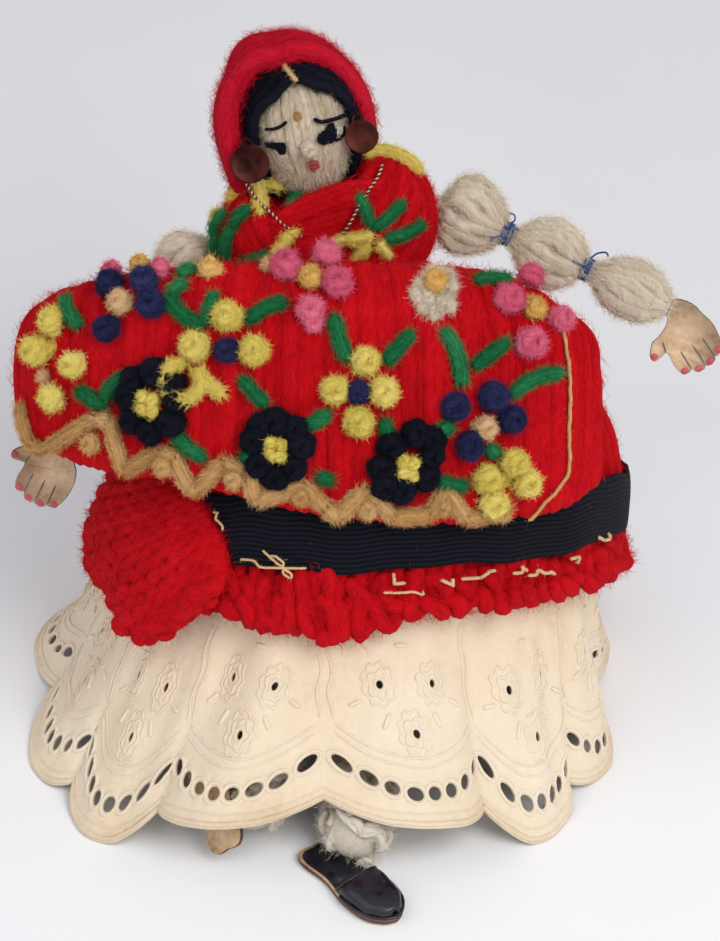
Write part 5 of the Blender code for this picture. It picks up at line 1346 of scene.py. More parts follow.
def make_face():
    """A ball wound with strands from the brow to the chin, fuller at the cheeks."""
    pile = Pile()
    half = HEAD_HALF - Vector((0.7,) * 3)
    middle = HEAD_MIDDLE + FACE_ASIDE
    for k in range(48):
        around = math.tau * k / 48 + rng.normal(0, 0.03)
        line = []
        for up in np.linspace(-1.42, 1.42, 26):
            x, y, z = math.cos(up) * math.sin(around), -math.cos(up) * math.cos(around), math.sin(up)
            cheek = (0.6 * math.exp(-((z + 0.32) ** 2) / 0.05) * max(-y, 0) * abs(x) * 2
                     + 0.12 * math.sin(k * 5 + up * 6))
            line.append(middle + Vector((x * (half.x + cheek), y * (half.y + cheek), z * half.z)))
        path = smooth_path(line, 70, 0.5)
        place = np.linspace(-1, 1, len(path))
        size = 0.98 * np.sqrt(np.clip(1 - place**2, 0.12, 1)) * rng.uniform(0.9, 1.1)
        pile.roving(moved(HEAD, path), size, rng.uniform(0.42, 0.62), 30.0, turn=rng.uniform(0, 6), round_ends=False)
    pile.fuzz(36000, 1.7, width=0.07, lean=0.34, comb=0.7, seed=41)
    pile.make("face_yarn", FACE, "head", ["head_ball"])


# How far from straight ahead they begin, at the crown, the sides and the chin.
HAIR_STARTS = (math.radians(44), math.radians(65), math.radians(118))
SCARF_STARTS = (math.radians(55), math.radians(73), math.radians(126))


def make_hair():
    """Two lobes of hair drawn from the parting round to each side, then back under the scarf."""
    pile = Pile()
    half = HEAD_HALF + Vector((2 * GAP + HAIR_THICKNESS - 0.9,) * 3)
    for sign in (-1, 1):
        for k in range(13):
            share = k / 12
            line = []
            for t in np.linspace(0, 1, 16):
                turn = sign * (0.02 + t * math.radians(150))
                rim = bowl_rim(turn, HAIR_STARTS) + 0.05 * math.sin(turn)
                lobe = 0.2 * math.exp(-(((t - 0.27) / 0.17) ** 2))
                polar = rim - lobe + (math.radians(122) - rim) * share * (1 - 0.3 * t)
                wave = Vector((0.25 * math.sin(k * 3 + t * 4),) * 3)
                line.append(on_head(turn, polar, half + wave) + FACE_ASIDE)
            path = smooth_path(line, 60, 0.5)
            pile.tube(moved(HEAD, path), rng.uniform(0.9, 1.12), rng.uniform(0.2, 0.8), sides=8, pitch=6.0, cut=0.12,
                      turn=rng.uniform(0, 6))
    pile.fuzz(18000, 2.0, width=0.06, lean=0.3, comb=0.9, seed=42)
    pile.make("hair_yarn", INK, "head", ["hair"])


def make_scarf():
    """A bonnet of thick yarn laid round the head, with a full front roll that dips over the parting."""
    pile = Pile()
    inner = 4 * GAP + HAIR_THICKNESS
    for layer, (out, count, size) in enumerate(((SCARF_THICKNESS - 1.9, 19, 1.45), (1.0, 9, 1.2))):
        for k in range(count):
            share = k / (count - 1)
            line = []
            for n in range(49):
                turn = math.tau * n / 48
                rim = bowl_rim(turn, SCARF_STARTS) + 0.10 * math.sin(turn)
                dip = 0.55 * math.exp(-((math.remainder(turn + 0.06, math.tau)) ** 2) / 0.02) * (1 - share)
                puff = 0.22 * math.sin(turn * 5 + k * 0.7) - dip + (0.5 if k < 3 and layer == 0 else 0.0)
                puff += 0.9 * math.exp(-(((turn if turn < math.pi else turn - math.tau) + 0.45) ** 2) / 0.06)
                puff -= 0.9 * max(math.sin(turn), 0.0)
                half = HEAD_HALF + Vector((inner + out + puff,) * 3)
                polar = rim + 0.05 + (math.radians(172) - rim) * share
                line.append(on_head(turn + 0.05 * math.sin(k), polar, half))
            path = smooth_path(line, 150, 0.7)
            radius = size * rng.uniform(0.95, 1.1) * (1.12 if k < 2 else 1.0)
            pile.roving(moved(HEAD, path), radius, rng.uniform(0.35, 0.65), sides=9, turn=rng.uniform(0, 6),
                        round_ends=False)
    pile.fuzz(36000, 2.4, width=0.07, lean=0.28, comb=1.0, seed=43)
    pile.fuzz(7000, 1.6, width=0.04, lean=0.5, seed=47)
    pile.make("scarf_yarn", SCARF_RED, "head", ["headscarf"])


def thread(pile, pixels, size, spot, lift, tone=0.4, pitch=1.4):
    path = smooth_path(laid(pixels, spot, lift)[0], 50, 0.18)
    pile.tube(path, size, tone, sides=7, pitch=pitch, cut=0.2, turn=rng.uniform(0, 6))


EYE_LEFT_ROWS = (
    ((267, 144), (276, 144.5), (287, 144)), ((268, 146), (278, 147), (288.5, 147)),
    ((278, 149), (284, 150), (288.5, 149.5)), ((280, 152), (284, 152.3), (287.5, 151.5)),
)
# Each stitch's middle column, half its width and its row.
EYE_RIGHT_ROWS = (
    (332, 3, 126), (331.5, 4, 128), (331, 5, 130), (329.5, 7, 132), (328.5, 8.5, 134), (328, 9.5, 136),
    (328, 9.5, 138), (328, 9, 140), (328.5, 6, 142),
)
MOUTH_ROWS = (((309, 164), (315, 162), (320, 163)), ((310, 167), (316, 166), (321, 166)), ((312, 170), (317, 169)))


def make_features():
    pile = Pile()
    for rows in EYE_LEFT_ROWS:
        thread(pile, rows, 0.42, face_spot, 1.2)
    pile.fuzz(260, 0.6, width=0.045, lean=0.4, seed=48)
    pile.make("eye_left_stitch", INK, "head", ["eye_left"])
    pile = Pile()
    for middle, half_wide, row in EYE_RIGHT_ROWS:
        tilt = ((middle - half_wide, row + half_wide * 0.2), (middle, row - 0.5), (middle + half_wide, row - half_wide * 0.2))
        thread(pile, tilt, 0.46, face_spot, 1.3)
    thread(pile, ((335, 141), (341, 139), (345, 134), (345, 127)), 0.26, face_spot, 1.2)
    pile.fuzz(320, 0.6, width=0.045, lean=0.4, seed=49)
    pile.make("eye_right_stitch", INK, "head", ["eye_right"])
    pile = Pile()
    thread(pile, ((267, 130), (275, 129.5), (283, 126.5), (289, 121.5)), 0.34, face_spot, 1.05)
    thread(pile, ((315, 118.5), (322, 122), (333, 120.5), (346, 117)), 0.42, face_spot, 1.05)
    pile.make("brow_stitches", INK, "head")
    pile = Pile()
    for side in (-1.5, 1.5):
        thread(pile, ((298 + side, 113), (299.5 + side, 117), (300 + side, 121)), 0.5, face_spot, 0.15, tone=0.0)
    pile.fuzz(220, 0.6, width=0.05, lean=0.7, seed=50)
    pile.make("face_smudge", TAN, "head")
    pile = Pile()
    for side in (-1.5, 1.5):
        thread(pile, ((339 + side, 127.5), (340.5 + side, 131), (339 + side, 135.5)), 0.32, face_spot, 1.25)
    pile.make("eye_white_thread", WHITE, "head")
    pile = Pile()
    for rows in MOUTH_ROWS:
        thread(pile, rows, 0.46, face_spot, 0.95)
    pile.fuzz(160, 0.7, seed=44)
    pile.make("mouth_stitches", LIP, "head", ["mouth_stitch"])
    pile = Pile()
    thread(pile, ((282, 65), (289, 75), (299, 86)), 0.45, hair_spot, 0.5, pitch=2.4)
    pile.fuzz(160, 0.8, width=0.05, seed=45)
    pile.make("parting_thread", PEACH, "head", ["parting_stitch"])
    pile = Pile()
    knot(pile, *face_spot((310, 148), 0.2), 1.75, 0.5, 1.1)
    pile.fuzz(900, 0.8, width=0.045, lean=0.75, seed=46)
    pile.make("nose_yarn", FACE, "head", ["nose_knot"])


EARRING_PLACES = {"right": Vector((11.2, -8.8, -3.0)), "left": Vector((-9.2, -8.8, -4.0))}
EARRING_RADII = {"right": 3.0, "left": 3.5}
# Each ring's share of the radius and its depth, from the middle of the back round the rim to the middle of the front.
SEQUIN_RINGS = (
    (0.0, -0.05), (0.35, -0.03), (0.7, 0.06), (0.9, 0.18), (0.97, 0.22), (1.0, 0.18), (1.0, 0.02), (0.9, -0.04),
    (0.7, -0.16), (0.35, -0.25), (0.0, -0.27),
)
SEQUIN_SIDES = 48


def make_sequin(side):
    """A dished metal disc with a turned rim, on a small ring at its top and a hook."""
    wide_radius = EARRING_RADII[side]
    frame_here = HEAD @ Matrix.Translation(HEAD_MIDDLE + EARRING_PLACES[side])
    points = []
    for wide, deep in SEQUIN_RINGS:
        for k in range(SEQUIN_SIDES):
            angle = math.tau * k / SEQUIN_SIDES
            points.append((wide_radius * wide * math.cos(angle), -deep, wide_radius * wide * math.sin(angle)))
    pile = Pile()
    pile.add(moved(frame_here, points), ring_faces(len(SEQUIN_RINGS), SEQUIN_SIDES))
    ring = [(1.0 * math.cos(a), 0.6 * math.sin(a) * 0.4 + 0.2, wide_radius + 0.1 + 0.9 * math.sin(a))
            for a in np.linspace(0, math.tau, 30)]
    pile.tube(moved(frame_here, ring), 0.2, sides=7, plies=1, cut=0.0, round_ends=False)
    hook = [(0, 0.2, wide_radius + 0.8), (0, 1.2, wide_radius + 1.3), (0, 3.0, wide_radius + 0.6)]
    pile.tube(moved(frame_here, smooth_rows(hook, 14)), 0.22, sides=7, plies=1, cut=0.0)
    pile.make("sequin_" + side, SEQUIN, "earring_" + side, ["earring_" + side])


make_face()
make_hair()
make_scarf()
make_features()
for side in ("right", "left"):
    make_sequin(side)
# Arms, hands, legs and shoes

SLEEVE_LENGTHS = (14.2, 15.8, 15.0)
SLEEVE_HALF_HEIGHTS = (8.0, 6.8, 5.8)
SLEEVE_HALF_DEPTHS = (5.2, 4.6, 4.2)
SLEEVE_NECK_RADIUS = 1.6
SLEEVE_END_GAP = 0.6
TIE_THREAD_RADIUS = 0.45
TIE_INSET = 1.35
SLEEVE_SHAPE_SHARES = (
    ((0.0, 0.0), (0.07, 0.35), (0.16, 0.84), (0.34, 1.0), (0.56, 0.84), (0.78, 0.42), (0.88, 0.0), (1.0, 0.0)),
    ((0.0, 0.0), (0.08, 0.2), (0.22, 0.7), (0.45, 1.0), (0.68, 0.82), (0.83, 0.36), (0.90, 0.0), (1.0, 0.0)),
    ((0.0, 0.0), (0.08, 0.2), (0.25, 0.74), (0.5, 1.0), (0.75, 0.86), (0.92, 0.4), (1.0, 0.12)),
)
ARM_WIRE_BACK = 1.8
SHOULDER_RIGHT, SHOULDER_LEFT = Vector((20.9, ARM_WIRE_BACK, 24.3)), Vector((-20.3, ARM_WIRE_BACK, 17.0))
RIGHT_ARM_DIRECTION, LEFT_ARM_DIRECTION = Vector((40.9, -1.5, -18.2)), Vector((-27.4, 3.0, -37.0))
HAND_LENGTH, HAND_WIDTH, HAND_THICKNESS, PALM_SHARE = 13.0, 12.0, 1.2, 0.3


def make_puff(name, frame_here, number, body, seed):
    """One puff of the sleeve: loose strands bulging between two ties."""
    pile = Pile()
    length = SLEEVE_LENGTHS[number]
    run = length - 2 * SLEEVE_END_GAP
    table = np.array(SLEEVE_SHAPE_SHARES[number])
    count = (15, 14, 13)[number]
    for layer, (shrink, strands) in enumerate(((1.0, count), (0.5, 6))):
        for k in range(strands):
            angle = math.tau * (k + 0.5 * layer) / strands + rng.normal(0, 0.05)
            line, sizes = [], []
            loose = rng.normal(0, 0.05)
            for along in np.linspace(0, 1, 24):
                full = float(np.interp(along, table[:, 0], table[:, 1])) * shrink * (1 + loose)
                high = SLEEVE_NECK_RADIUS + (SLEEVE_HALF_HEIGHTS[number] - SLEEVE_NECK_RADIUS) * full
                deep = SLEEVE_NECK_RADIUS + (SLEEVE_HALF_DEPTHS[number] - SLEEVE_NECK_RADIUS) * full
                size = min(1.5, 0.55 + full * 1.1) * (1.0 if layer == 0 else 0.9)
                swing = angle + 0.22 * (along - 0.5) + 0.10 * math.sin(along * 8 + k * 2.3)
                line.append((SLEEVE_END_GAP + run * along, max(deep - size, 0.2) * math.cos(swing),
                             max(high - size, 0.2) * math.sin(swing), size))
            path = smooth_path(line, 70, 0.45)
            pile.tube(moved(frame_here, path[:, :3]), path[:, 3] * rng.uniform(0.92, 1.08), rng.uniform(0.35, 0.7), sides=9,
                      pitch=5.6, cut=0.14, turn=rng.uniform(0, 6), round_ends=False)
    pile.fuzz((15000, 13000, 11000)[number], 2.3, width=0.065, lean=0.3, comb=0.9, seed=seed)
    pile.make(name + "_yarn", CREAM, body, [name])


def make_tie(name, frame_here, x, body, seed):
    """Sewing thread wound round the neck of a puff, with a loose loop and cut ends."""
    draw = np.random.default_rng(seed)
    pile = Pile()
    radius = SLEEVE_NECK_RADIUS + TIE_THREAD_RADIUS
    for turn_number in range(5):
        tip = draw.normal(0, 0.25)
        line = [(x + (turn_number - 2) * 0.42 + tip * math.cos(a), radius * math.cos(a), radius * math.sin(a))
                for a in np.linspace(0, math.tau, 25)]
        pile.tube(moved(frame_here, line), 0.24, draw.uniform(0.2, 0.8), sides=6, pitch=1.2, cut=0.25, round_ends=False)
    for end in range(4):
        angle = draw.uniform(0, math.tau)
        start = np.array((x, radius * math.cos(angle), radius * math.sin(angle)))
        way = unit(np.array((draw.normal(0, 0.6), math.cos(angle), math.sin(angle))))
        long = draw.uniform(2.0, 4.2)
        curl = unit(draw.normal(0, 1, 3))
        line = [start, start + way * long * 0.4, start + way * long * 0.7 + curl * 0.9,
                start + way * long * 0.6 + curl * 1.9]
        pile.tube(moved(frame_here, smooth_path(line, 24, 0.25)), 0.18, draw.uniform(0.2, 0.9), sides=6,
                  pitch=1.0, cut=0.25)
    pile.make(name + "_thread", BLUE, body, [name])


# Shares of the hand's length and width, round its outline from the wrist.
HAND_SIDE_SHARES = (
    (0.0, -0.13), (0.10, -0.22), (0.18, -0.36), (0.30, -0.50), (0.42, -0.615), (0.50, -0.645), (0.555, -0.60),
    (0.545, -0.50), (0.53, -0.40), (0.60, -0.385), (0.74, -0.395), (0.86, -0.37), (0.915, -0.31), (0.925, -0.24),
    (0.905, -0.195), (0.955, -0.17), (0.99, -0.10), (0.992, -0.03), (0.962, 0.015), (0.985, 0.05), (0.982, 0.125),
    (0.955, 0.185), (0.92, 0.20), (0.925, 0.25), (0.89, 0.325), (0.83, 0.375), (0.70, 0.415), (0.50, 0.425),
    (0.30, 0.36), (0.12, 0.22), (0.0, 0.13),
)
FINGER_LINES = (
    ((0.60, -0.20), (0.905, -0.195)), ((0.60, 0.0), (0.96, 0.015)), ((0.60, 0.18), (0.915, 0.20)),
    ((0.36, -0.36), (0.53, -0.40)),
)
NAIL_SIDES = 14
NAILS = ((0.875, -0.30), (0.945, -0.10), (0.94, 0.10), (0.86, 0.30), (0.49, -0.585))


def hand_place(frame_here, tilt, along, out, across, sign):
    turn = Matrix.Rotation(tilt * min(along / PALM_SHARE, 1.0), 3, "Y")
    place = turn @ Vector((HAND_LENGTH * along, out, HAND_WIDTH * across * sign))
    return tuple(frame_here @ (place + Vector((GAP, 0, 0))))


def make_hand(side, frame_here, sign, tilt):
    """A hand cut from thin leather, with fingers drawn in grey and painted nails."""
    name = "hand_" + side
    outline = smooth_rows(HAND_SIDE_SHARES, 110)
    middle = np.array((0.5, 0.0))
    thick = HAND_THICKNESS / 2
    levels = ((0.985, -thick), (1.0, -thick * 0.7), (1.0, thick * 0.7), (0.985, thick))
    count = len(outline)
    pile = Pile()
    points = []
    for shrink, out in levels:
        for along, across in middle + (outline - middle) * shrink:
            points.append(hand_place(frame_here, tilt, along, out, across, sign))
    faces = ring_faces(len(levels), count)
    faces += [tuple(range(count)), tuple((len(levels) - 1) * count + k for k in range(count))[::-1]]
    pile.add(points, faces)
    made = pile.make(name + "_leather", CARD, name, [name], smooth=False)
    made.data.materials.append(EDGE)
    for face in made.data.polygons:
        if len(face.vertices) == 4:
            face.material_index = 1
    lines = Pile()
    for start, end in FINGER_LINES:
        for out in (-thick, thick):
            line = []
            for share in np.linspace(0, 1, 6):
                along = start[0] + (end[0] - start[0]) * share
                across = start[1] + (end[1] - start[1]) * share
                line.append(hand_place(frame_here, tilt, along, out, across, sign))
            lines.tube(np.array(line), 0.16, 0.5, sides=6, plies=1, cut=0.0)
    lines.make(name + "_finger_lines", INKED, name)
    nails = Pile()
    for along, across in NAILS:
        for out in (-thick - 0.02, thick + 0.02):
            ring = []
            for level, grow in ((0.0, 1.0), (0.06, 0.85)):
                for a in np.linspace(0, math.tau, NAIL_SIDES + 1)[:-1]:
                    ring.append(hand_place(frame_here, tilt, along + 0.05 * grow * math.cos(a),
                                           out + math.copysign(level, out), across + 0.062 * grow * math.sin(a), sign))
            nails.add(ring, ring_faces(2, NAIL_SIDES) + [tuple(range(NAIL_SIDES, 2 * NAIL_SIDES))])
    nails.make(name + "_nails", NAIL, name)


def make_arm(side, shoulder, direction, tilt, sign, seed):
    first, second, third = SLEEVE_LENGTHS
    frame_here = UPPER @ frame_along(shoulder, shoulder + direction, (0, 1, 0))
    make_puff("upper_sleeve_" + side, frame_here, 0, "upper_arm_" + side, seed)
    make_tie("elbow_tie_" + side, frame_here, first - TIE_INSET, "upper_arm_" + side, seed + 1)
    frame_here = frame_here @ Matrix.Translation((first, 0, 0))
    make_puff("middle_sleeve_" + side, frame_here, 1, "forearm_" + side, seed + 2)
    make_tie("forearm_tie_" + side, frame_here, second - TIE_INSET, "forearm_" + side, seed + 3)
    frame_here = frame_here @ Matrix.Translation((second, 0, 0))
    make_puff("lower_sleeve_" + side, frame_here, 2, "forearm_" + side, seed + 4)
    make_hand(side, frame_here @ Matrix.Translation((third, 0, 0)), sign, tilt)


THIGH_RADIUS = 5.2
KNEE_AWAY = 8.0
LEG_ROUTES = {
    "right": ((4.6, -4.2, 45.2), (7.0, -16.0, 31.0), (KNEE_AWAY, -29.0, 19.0), (7.0, -42.0, 8.4), (5.0, -56.0, 5.4)),
    "left": ((-4.6, -4.2, 45.2), (-7.0, -14.0, 31.0), (-KNEE_AWAY, -25.0, 19.0), (-11.2, -38.2, 9.6), (-14.0, -49.8, 6.6)),
}
# From the hip to the ankle: the limb's own thickness, and how far the fleece puffs out past it.
LEG_RADIUS_SHARES = (0.55, 0.9, 1.0, 0.98, 0.92, 0.86, 0.84, 0.84, 0.6)
LEG_FLUFF_SHARES = (1.0, 1.05, 1.1, 1.2, 1.35, 1.6, 1.7, 1.6, 1.5)
CURLS = 230


def make_leg(side, seed):
    """Curly fleece wound loosely round the wire: a soft core under curls that wander over it."""
    pile = Pile()
    route = smooth_rows(LEG_ROUTES[side], 90)
    ahead, out, across = path_frames(route)
    share = np.linspace(0, 1, len(route))
    radius = THIGH_RADIUS * np.interp(share, np.linspace(0, 1, len(LEG_RADIUS_SHARES)), LEG_RADIUS_SHARES)
    fluff = radius * np.interp(share, np.linspace(0, 1, len(LEG_FLUFF_SHARES)), LEG_FLUFF_SHARES)
    pile.tube(route, fluff * 0.82, 0.5, sides=16, plies=3, pitch=26.0, cut=0.08)
    draw = np.random.default_rng(seed)
    for k in range(CURLS):
        t = draw.uniform(0.12, 0.93) + np.linspace(0, 1, 40) * draw.uniform(-0.06, 0.07)
        s = np.linspace(0, 1, 40)
        t = np.clip(t + 0.022 * np.sin(s * draw.uniform(9, 16) + k), 0.02, 0.97)
        angle = draw.uniform(0, math.tau) + s * draw.uniform(-1.6, 1.6) + 0.28 * np.sin(s * draw.uniform(9, 16) + k * 2)
        at, first, second = (read_rows(t, share, rows) for rows in (route, out, across))
        reach = np.interp(t, share, fluff) * draw.uniform(0.78, 1.0) - 0.6 + 0.45 * np.sin(s * draw.uniform(8, 20) + k)
        path = at + first * (reach * np.cos(angle))[:, None] + second * (reach * np.sin(angle))[:, None]
        path[:, 2] = np.maximum(path[:, 2], 1.0)
        pile.roving(path, draw.uniform(0.5, 0.85), draw.uniform(0.3, 0.85), 20.0, sides=6)
    pile.fuzz(42000, 2.2, width=0.055, lean=0.62, comb=0.5, seed=seed)
    pile.make("leg_" + side + "_fleece", WHITE, "leg_" + side, ["leg_" + side])


SHOE_LENGTH, SHOE_WIDTH, SOLE_THICKNESS, SHOE_UPPER_HEIGHT = 24.5, 9.6, 1.2, 3.0
SHOE_OUTLINE_SHARES = (
    (0.0, 0.0), (0.0, 0.30), (0.10, 0.44), (0.35, 0.40), (0.62, 0.5), (0.84, 0.44), (0.96, 0.22), (1.0, 0.0),
)
UPPER_START_SHARE, UPPER_END_SHARE = 0.52, 0.985


def right_foot():
    return Matrix.Translation((-2.2, -49.5, GAP)) @ Matrix.Rotation(math.radians(-52), 4, "Z")


def left_foot():
    x_axis = Vector((-0.25, 0.8, 0.55)).normalized()
    faces = Vector((-0.59, -0.74, 0.33))
    z_axis = -(faces - x_axis * faces.dot(x_axis)).normalized()
    return Matrix.Translation((-17.5, -54.5, 5.0)) @ Matrix((x_axis, z_axis.cross(x_axis), z_axis)).transposed().to_4x4()


def sole_outline(shrink=1.0):
    half = smooth_rows(SHOE_OUTLINE_SHARES, 40)
    other = half[::-1][1:-1] * (1, -1)
    ring = np.concatenate((half, other)) * (SHOE_LENGTH, SHOE_WIDTH)
    middle = np.array((SHOE_LENGTH * 0.5, 0.0))
    return middle + (ring - middle) * (1 - (1 - shrink) * np.array((0.6, 1.0)))


def make_shoe(side, frame_here):
    """A leather sole with dark painted edges and a glossy slip-on upper with its stitched mouth."""
    body = "foot_" + side
    levels = ((0.96, 0.0), (1.0, 0.22), (1.0, SOLE_THICKNESS - 0.2), (0.97, SOLE_THICKNESS))
    points = [(x, y, z) for shrink, z in levels for x, y in sole_outline(shrink)]
    count = len(points) // len(levels)
    faces = ring_faces(len(levels), count)
    faces += [tuple(range(count))[::-1], tuple(3 * count + k for k in range(count))]
    pile = Pile()
    pile.add(moved(frame_here, points), faces)
    made = pile.make("sole_" + side + "_leather", SOLE, body, ["sole_" + side])
    made.data.set_sharp_from_angle(angle=math.radians(50))
    made.data.materials.append(EDGE)
    for number, face in enumerate(made.data.polygons):
        if count <= number < 2 * count:
            face.material_index = 1
    low = SOLE_THICKNESS + GAP
    pile = Pile()
    rows, columns = 14, 40
    points = []
    for r in range(rows):
        along = UPPER_START_SHARE + (UPPER_END_SHARE - UPPER_START_SHARE) * r / (rows - 1)
        half = float(np.interp(along, *np.transpose(SHOE_OUTLINE_SHARES[1:]))) * (SHOE_WIDTH * 0.97)
        rise = SHOE_UPPER_HEIGHT * math.sqrt(max(1 - ((along - 0.56) / 0.47) ** 2, 0.02))
        for c in range(columns):
            angle = math.pi * c / (columns - 1)
            wide = math.copysign(abs(math.cos(angle)) ** 0.8, math.cos(angle))
            dip = 0.9 * math.exp(-((along - UPPER_START_SHARE) / 0.06) ** 2) * math.sin(angle)
            points.append((SHOE_LENGTH * (along + 0.05 * math.sin(angle) * (r == 0)), half * wide,
                           low + rise * math.sin(angle) ** 0.75 - dip * 0.4))
    faces = [(r * columns + c, r * columns + c + 1, (r + 1) * columns + c + 1, (r + 1) * columns + c)
             for r in range(rows - 1) for c in range(columns - 1)]
    pile.add(moved(frame_here, points), faces)
    mouth = points[:columns]
    pile.tube(moved(frame_here, even_rows(np.array(mouth), 0.4)), 0.34, 0.5, sides=7, plies=1, cut=0.0)
    welt = [(x, y, low - 0.1) for x, y in sole_outline(0.985) if x > SHOE_LENGTH * UPPER_START_SHARE]
    welt.sort(key=lambda p: math.atan2(p[1], p[0] - SHOE_LENGTH * UPPER_START_SHARE))
    pile.tube(moved(frame_here, even_rows(np.array(welt), 0.4)), 0.36, 0.5, sides=7, plies=1, cut=0.0)
    shown = pile.make("shoe_upper_" + side + "_patent", PATENT, body, ["shoe_upper_" + side])
    thick = shown.modifiers.new("leather", "SOLIDIFY")
    thick.thickness = 0.0004
    thick.offset = -1
    pile = Pile()
    levels = ((0.9, SOLE_THICKNESS + 0.02), (0.86, SOLE_THICKNESS + 0.12))
    points = [(x, y, z) for shrink, z in levels for x, y in sole_outline(shrink)]
    pile.add(moved(frame_here, points), ring_faces(2, count) + [tuple(count + k for k in range(count))])
    pile.make("shoe_insole_" + side, PATENT, body)


make_arm("right", SHOULDER_RIGHT, RIGHT_ARM_DIRECTION, math.radians(35), 1, 51)
make_arm("left", SHOULDER_LEFT, LEFT_ARM_DIRECTION, math.radians(-8), 1, 61)
make_leg("right", 71)
make_leg("left", 72)
make_shoe("right", right_foot())
make_shoe("left", left_foot())
# Petticoat of cotton edging with real eyelets

PETTICOAT_HEM_LEFT, PETTICOAT_HEM_RIGHT = 56.0, 54.0
PETTICOAT_HEM_FRONT, PETTICOAT_HEM_BACK = 57.5, 42.5
PETTICOAT_ARCH, PETTICOAT_SQUARENESS = 12.0, 2.6
SCALLOPS, SCALLOP_DEPTH, SCALLOP_RISE, SCALLOP_FULLNESS = 12, 5.5, 3.0, 0.7
FOOT_CUT, ARCH_START_SHARE = 0.5, 0.75
PETTICOAT_FALL_POWER = 1.4
CLOTH = 0.45
# The cut cloth: the length of the strip round the hem, and from under the skirt to the hem.
STRIP_LENGTH, STRIP_DEPTH = 336.0, 42.0
FIRST_ROW_SHARE = 0.62


def hem_point(angle):
    power = 2 / PETTICOAT_SQUARENESS
    centre_y = (PETTICOAT_HEM_BACK - PETTICOAT_HEM_FRONT) / 2
    half_depth = (PETTICOAT_HEM_BACK + PETTICOAT_HEM_FRONT) / 2
    across, ahead = math.sin(angle), math.cos(angle)
    lobe = abs(math.sin(SCALLOPS * angle / 2)) ** SCALLOP_FULLNESS
    half_width = PETTICOAT_HEM_RIGHT if across > 0 else PETTICOAT_HEM_LEFT
    drawn_in = SCALLOP_DEPTH * (1 - lobe)
    x = (half_width - drawn_in) * math.copysign(abs(across) ** power, across)
    y = centre_y - (half_depth - drawn_in) * math.copysign(abs(ahead) ** power, ahead)
    climb = min(max((ahead - ARCH_START_SHARE) / (1 - ARCH_START_SHARE), 0.0), 1.0)
    arch = PETTICOAT_ARCH * climb * climb * (3 - 2 * climb)
    rise = max(SCALLOP_RISE * (1 - lobe) - FOOT_CUT, 0.0)
    return Vector((x, y, arch + rise))


# The strip is cut flat: along it in millimetres from the middle of the back, down it from the skirt's tape.
ANGLE_TABLE = np.linspace(-math.pi, math.pi, 1441)
HEM_TABLE = rows_of([hem_point(a) for a in ANGLE_TABLE])
TOP_TABLE = rows_of([skirt_point(a, 0.98, -(SKIRT_THICKNESS + 3 * GAP), False) for a in ANGLE_TABLE])
UNDER_TABLE = rows_of([skirt_point(a, FIRST_ROW_SHARE, -(SKIRT_THICKNESS + 3 * GAP), False) for a in ANGLE_TABLE])
UNDER_DEPTH = 9.0
# Each fold's angle from the front, its depth and its width.
FOLDS = (
    (-0.42, 2.6, 0.10), (0.52, 2.2, 0.09), (-1.35, 2.2, 0.14), (1.42, 2.0, 0.13), (0.85, 1.3, 0.07),
    (-0.95, 1.4, 0.08), (2.3, 2.2, 0.16), (-2.4, 2.0, 0.16), (3.0, 1.6, 0.12),
)


def cloth_points(along, down):
    """Where flat points of the strip lie on the doll. Down runs past the tape to the scalloped hem at STRIP_DEPTH."""
    angle = along / STRIP_LENGTH * math.tau
    top, hem, under = (read_rows(angle, ANGLE_TABLE, table) for table in (TOP_TABLE, HEM_TABLE, UNDER_TABLE))
    drop = np.clip((down - UNDER_DEPTH) / (STRIP_DEPTH - UNDER_DEPTH), 0, None)[:, None]
    spread = drop**PETTICOAT_FALL_POWER
    points = top + (hem - top) * spread
    points[:, 2] = (top + (hem - top) * drop)[:, 2]
    inner = np.clip(1 - down / UNDER_DEPTH, 0, 1)[:, None]
    points = points + (under - top) * inner
    away = unit(np.stack((points[:, 0], points[:, 1] - 2.0, np.zeros(len(points))), 1))
    fold = np.zeros(len(points))
    level = drop[:, 0]
    hold = np.clip(level * 3, 0, 1) * np.clip((1.12 - level) * 1.6, 0.15, 1)
    for middle, deep, wide in FOLDS:
        fold -= deep * np.exp(-(((angle - middle - 0.10 * (1 - level)) / wide) ** 2))
        fold += deep * 0.45 * np.exp(-(((angle - middle - wide * 1.9) / (wide * 1.2)) ** 2))
    fold += 0.5 * np.sin(angle * 21 + level * 3) * (1 - level) + 0.25 * np.sin(angle * 37 + 5 * level)
    points = points + away * (fold * hold)[:, None]
    points[:, 2] = np.maximum(points[:, 2], 0.05)
    return points


def cloth_outward(along, down, here):
    """The directions out of the cloth, from how it runs round and falls there."""
    step = 0.25
    run = cloth_points(along + step, down) - cloth_points(along - step, down)
    fall = cloth_points(along, down + step) - cloth_points(along, np.maximum(down - step, 0))
    out = unit(np.cross(run, fall))
    facing = (out * np.stack((here[:, 0], here[:, 1] - 2, np.full(len(here), 20.0)), 1)).sum(1)
    return out * np.where(facing < 0, -1.0, 1.0)[:, None]


PITCH = STRIP_LENGTH / SCALLOPS


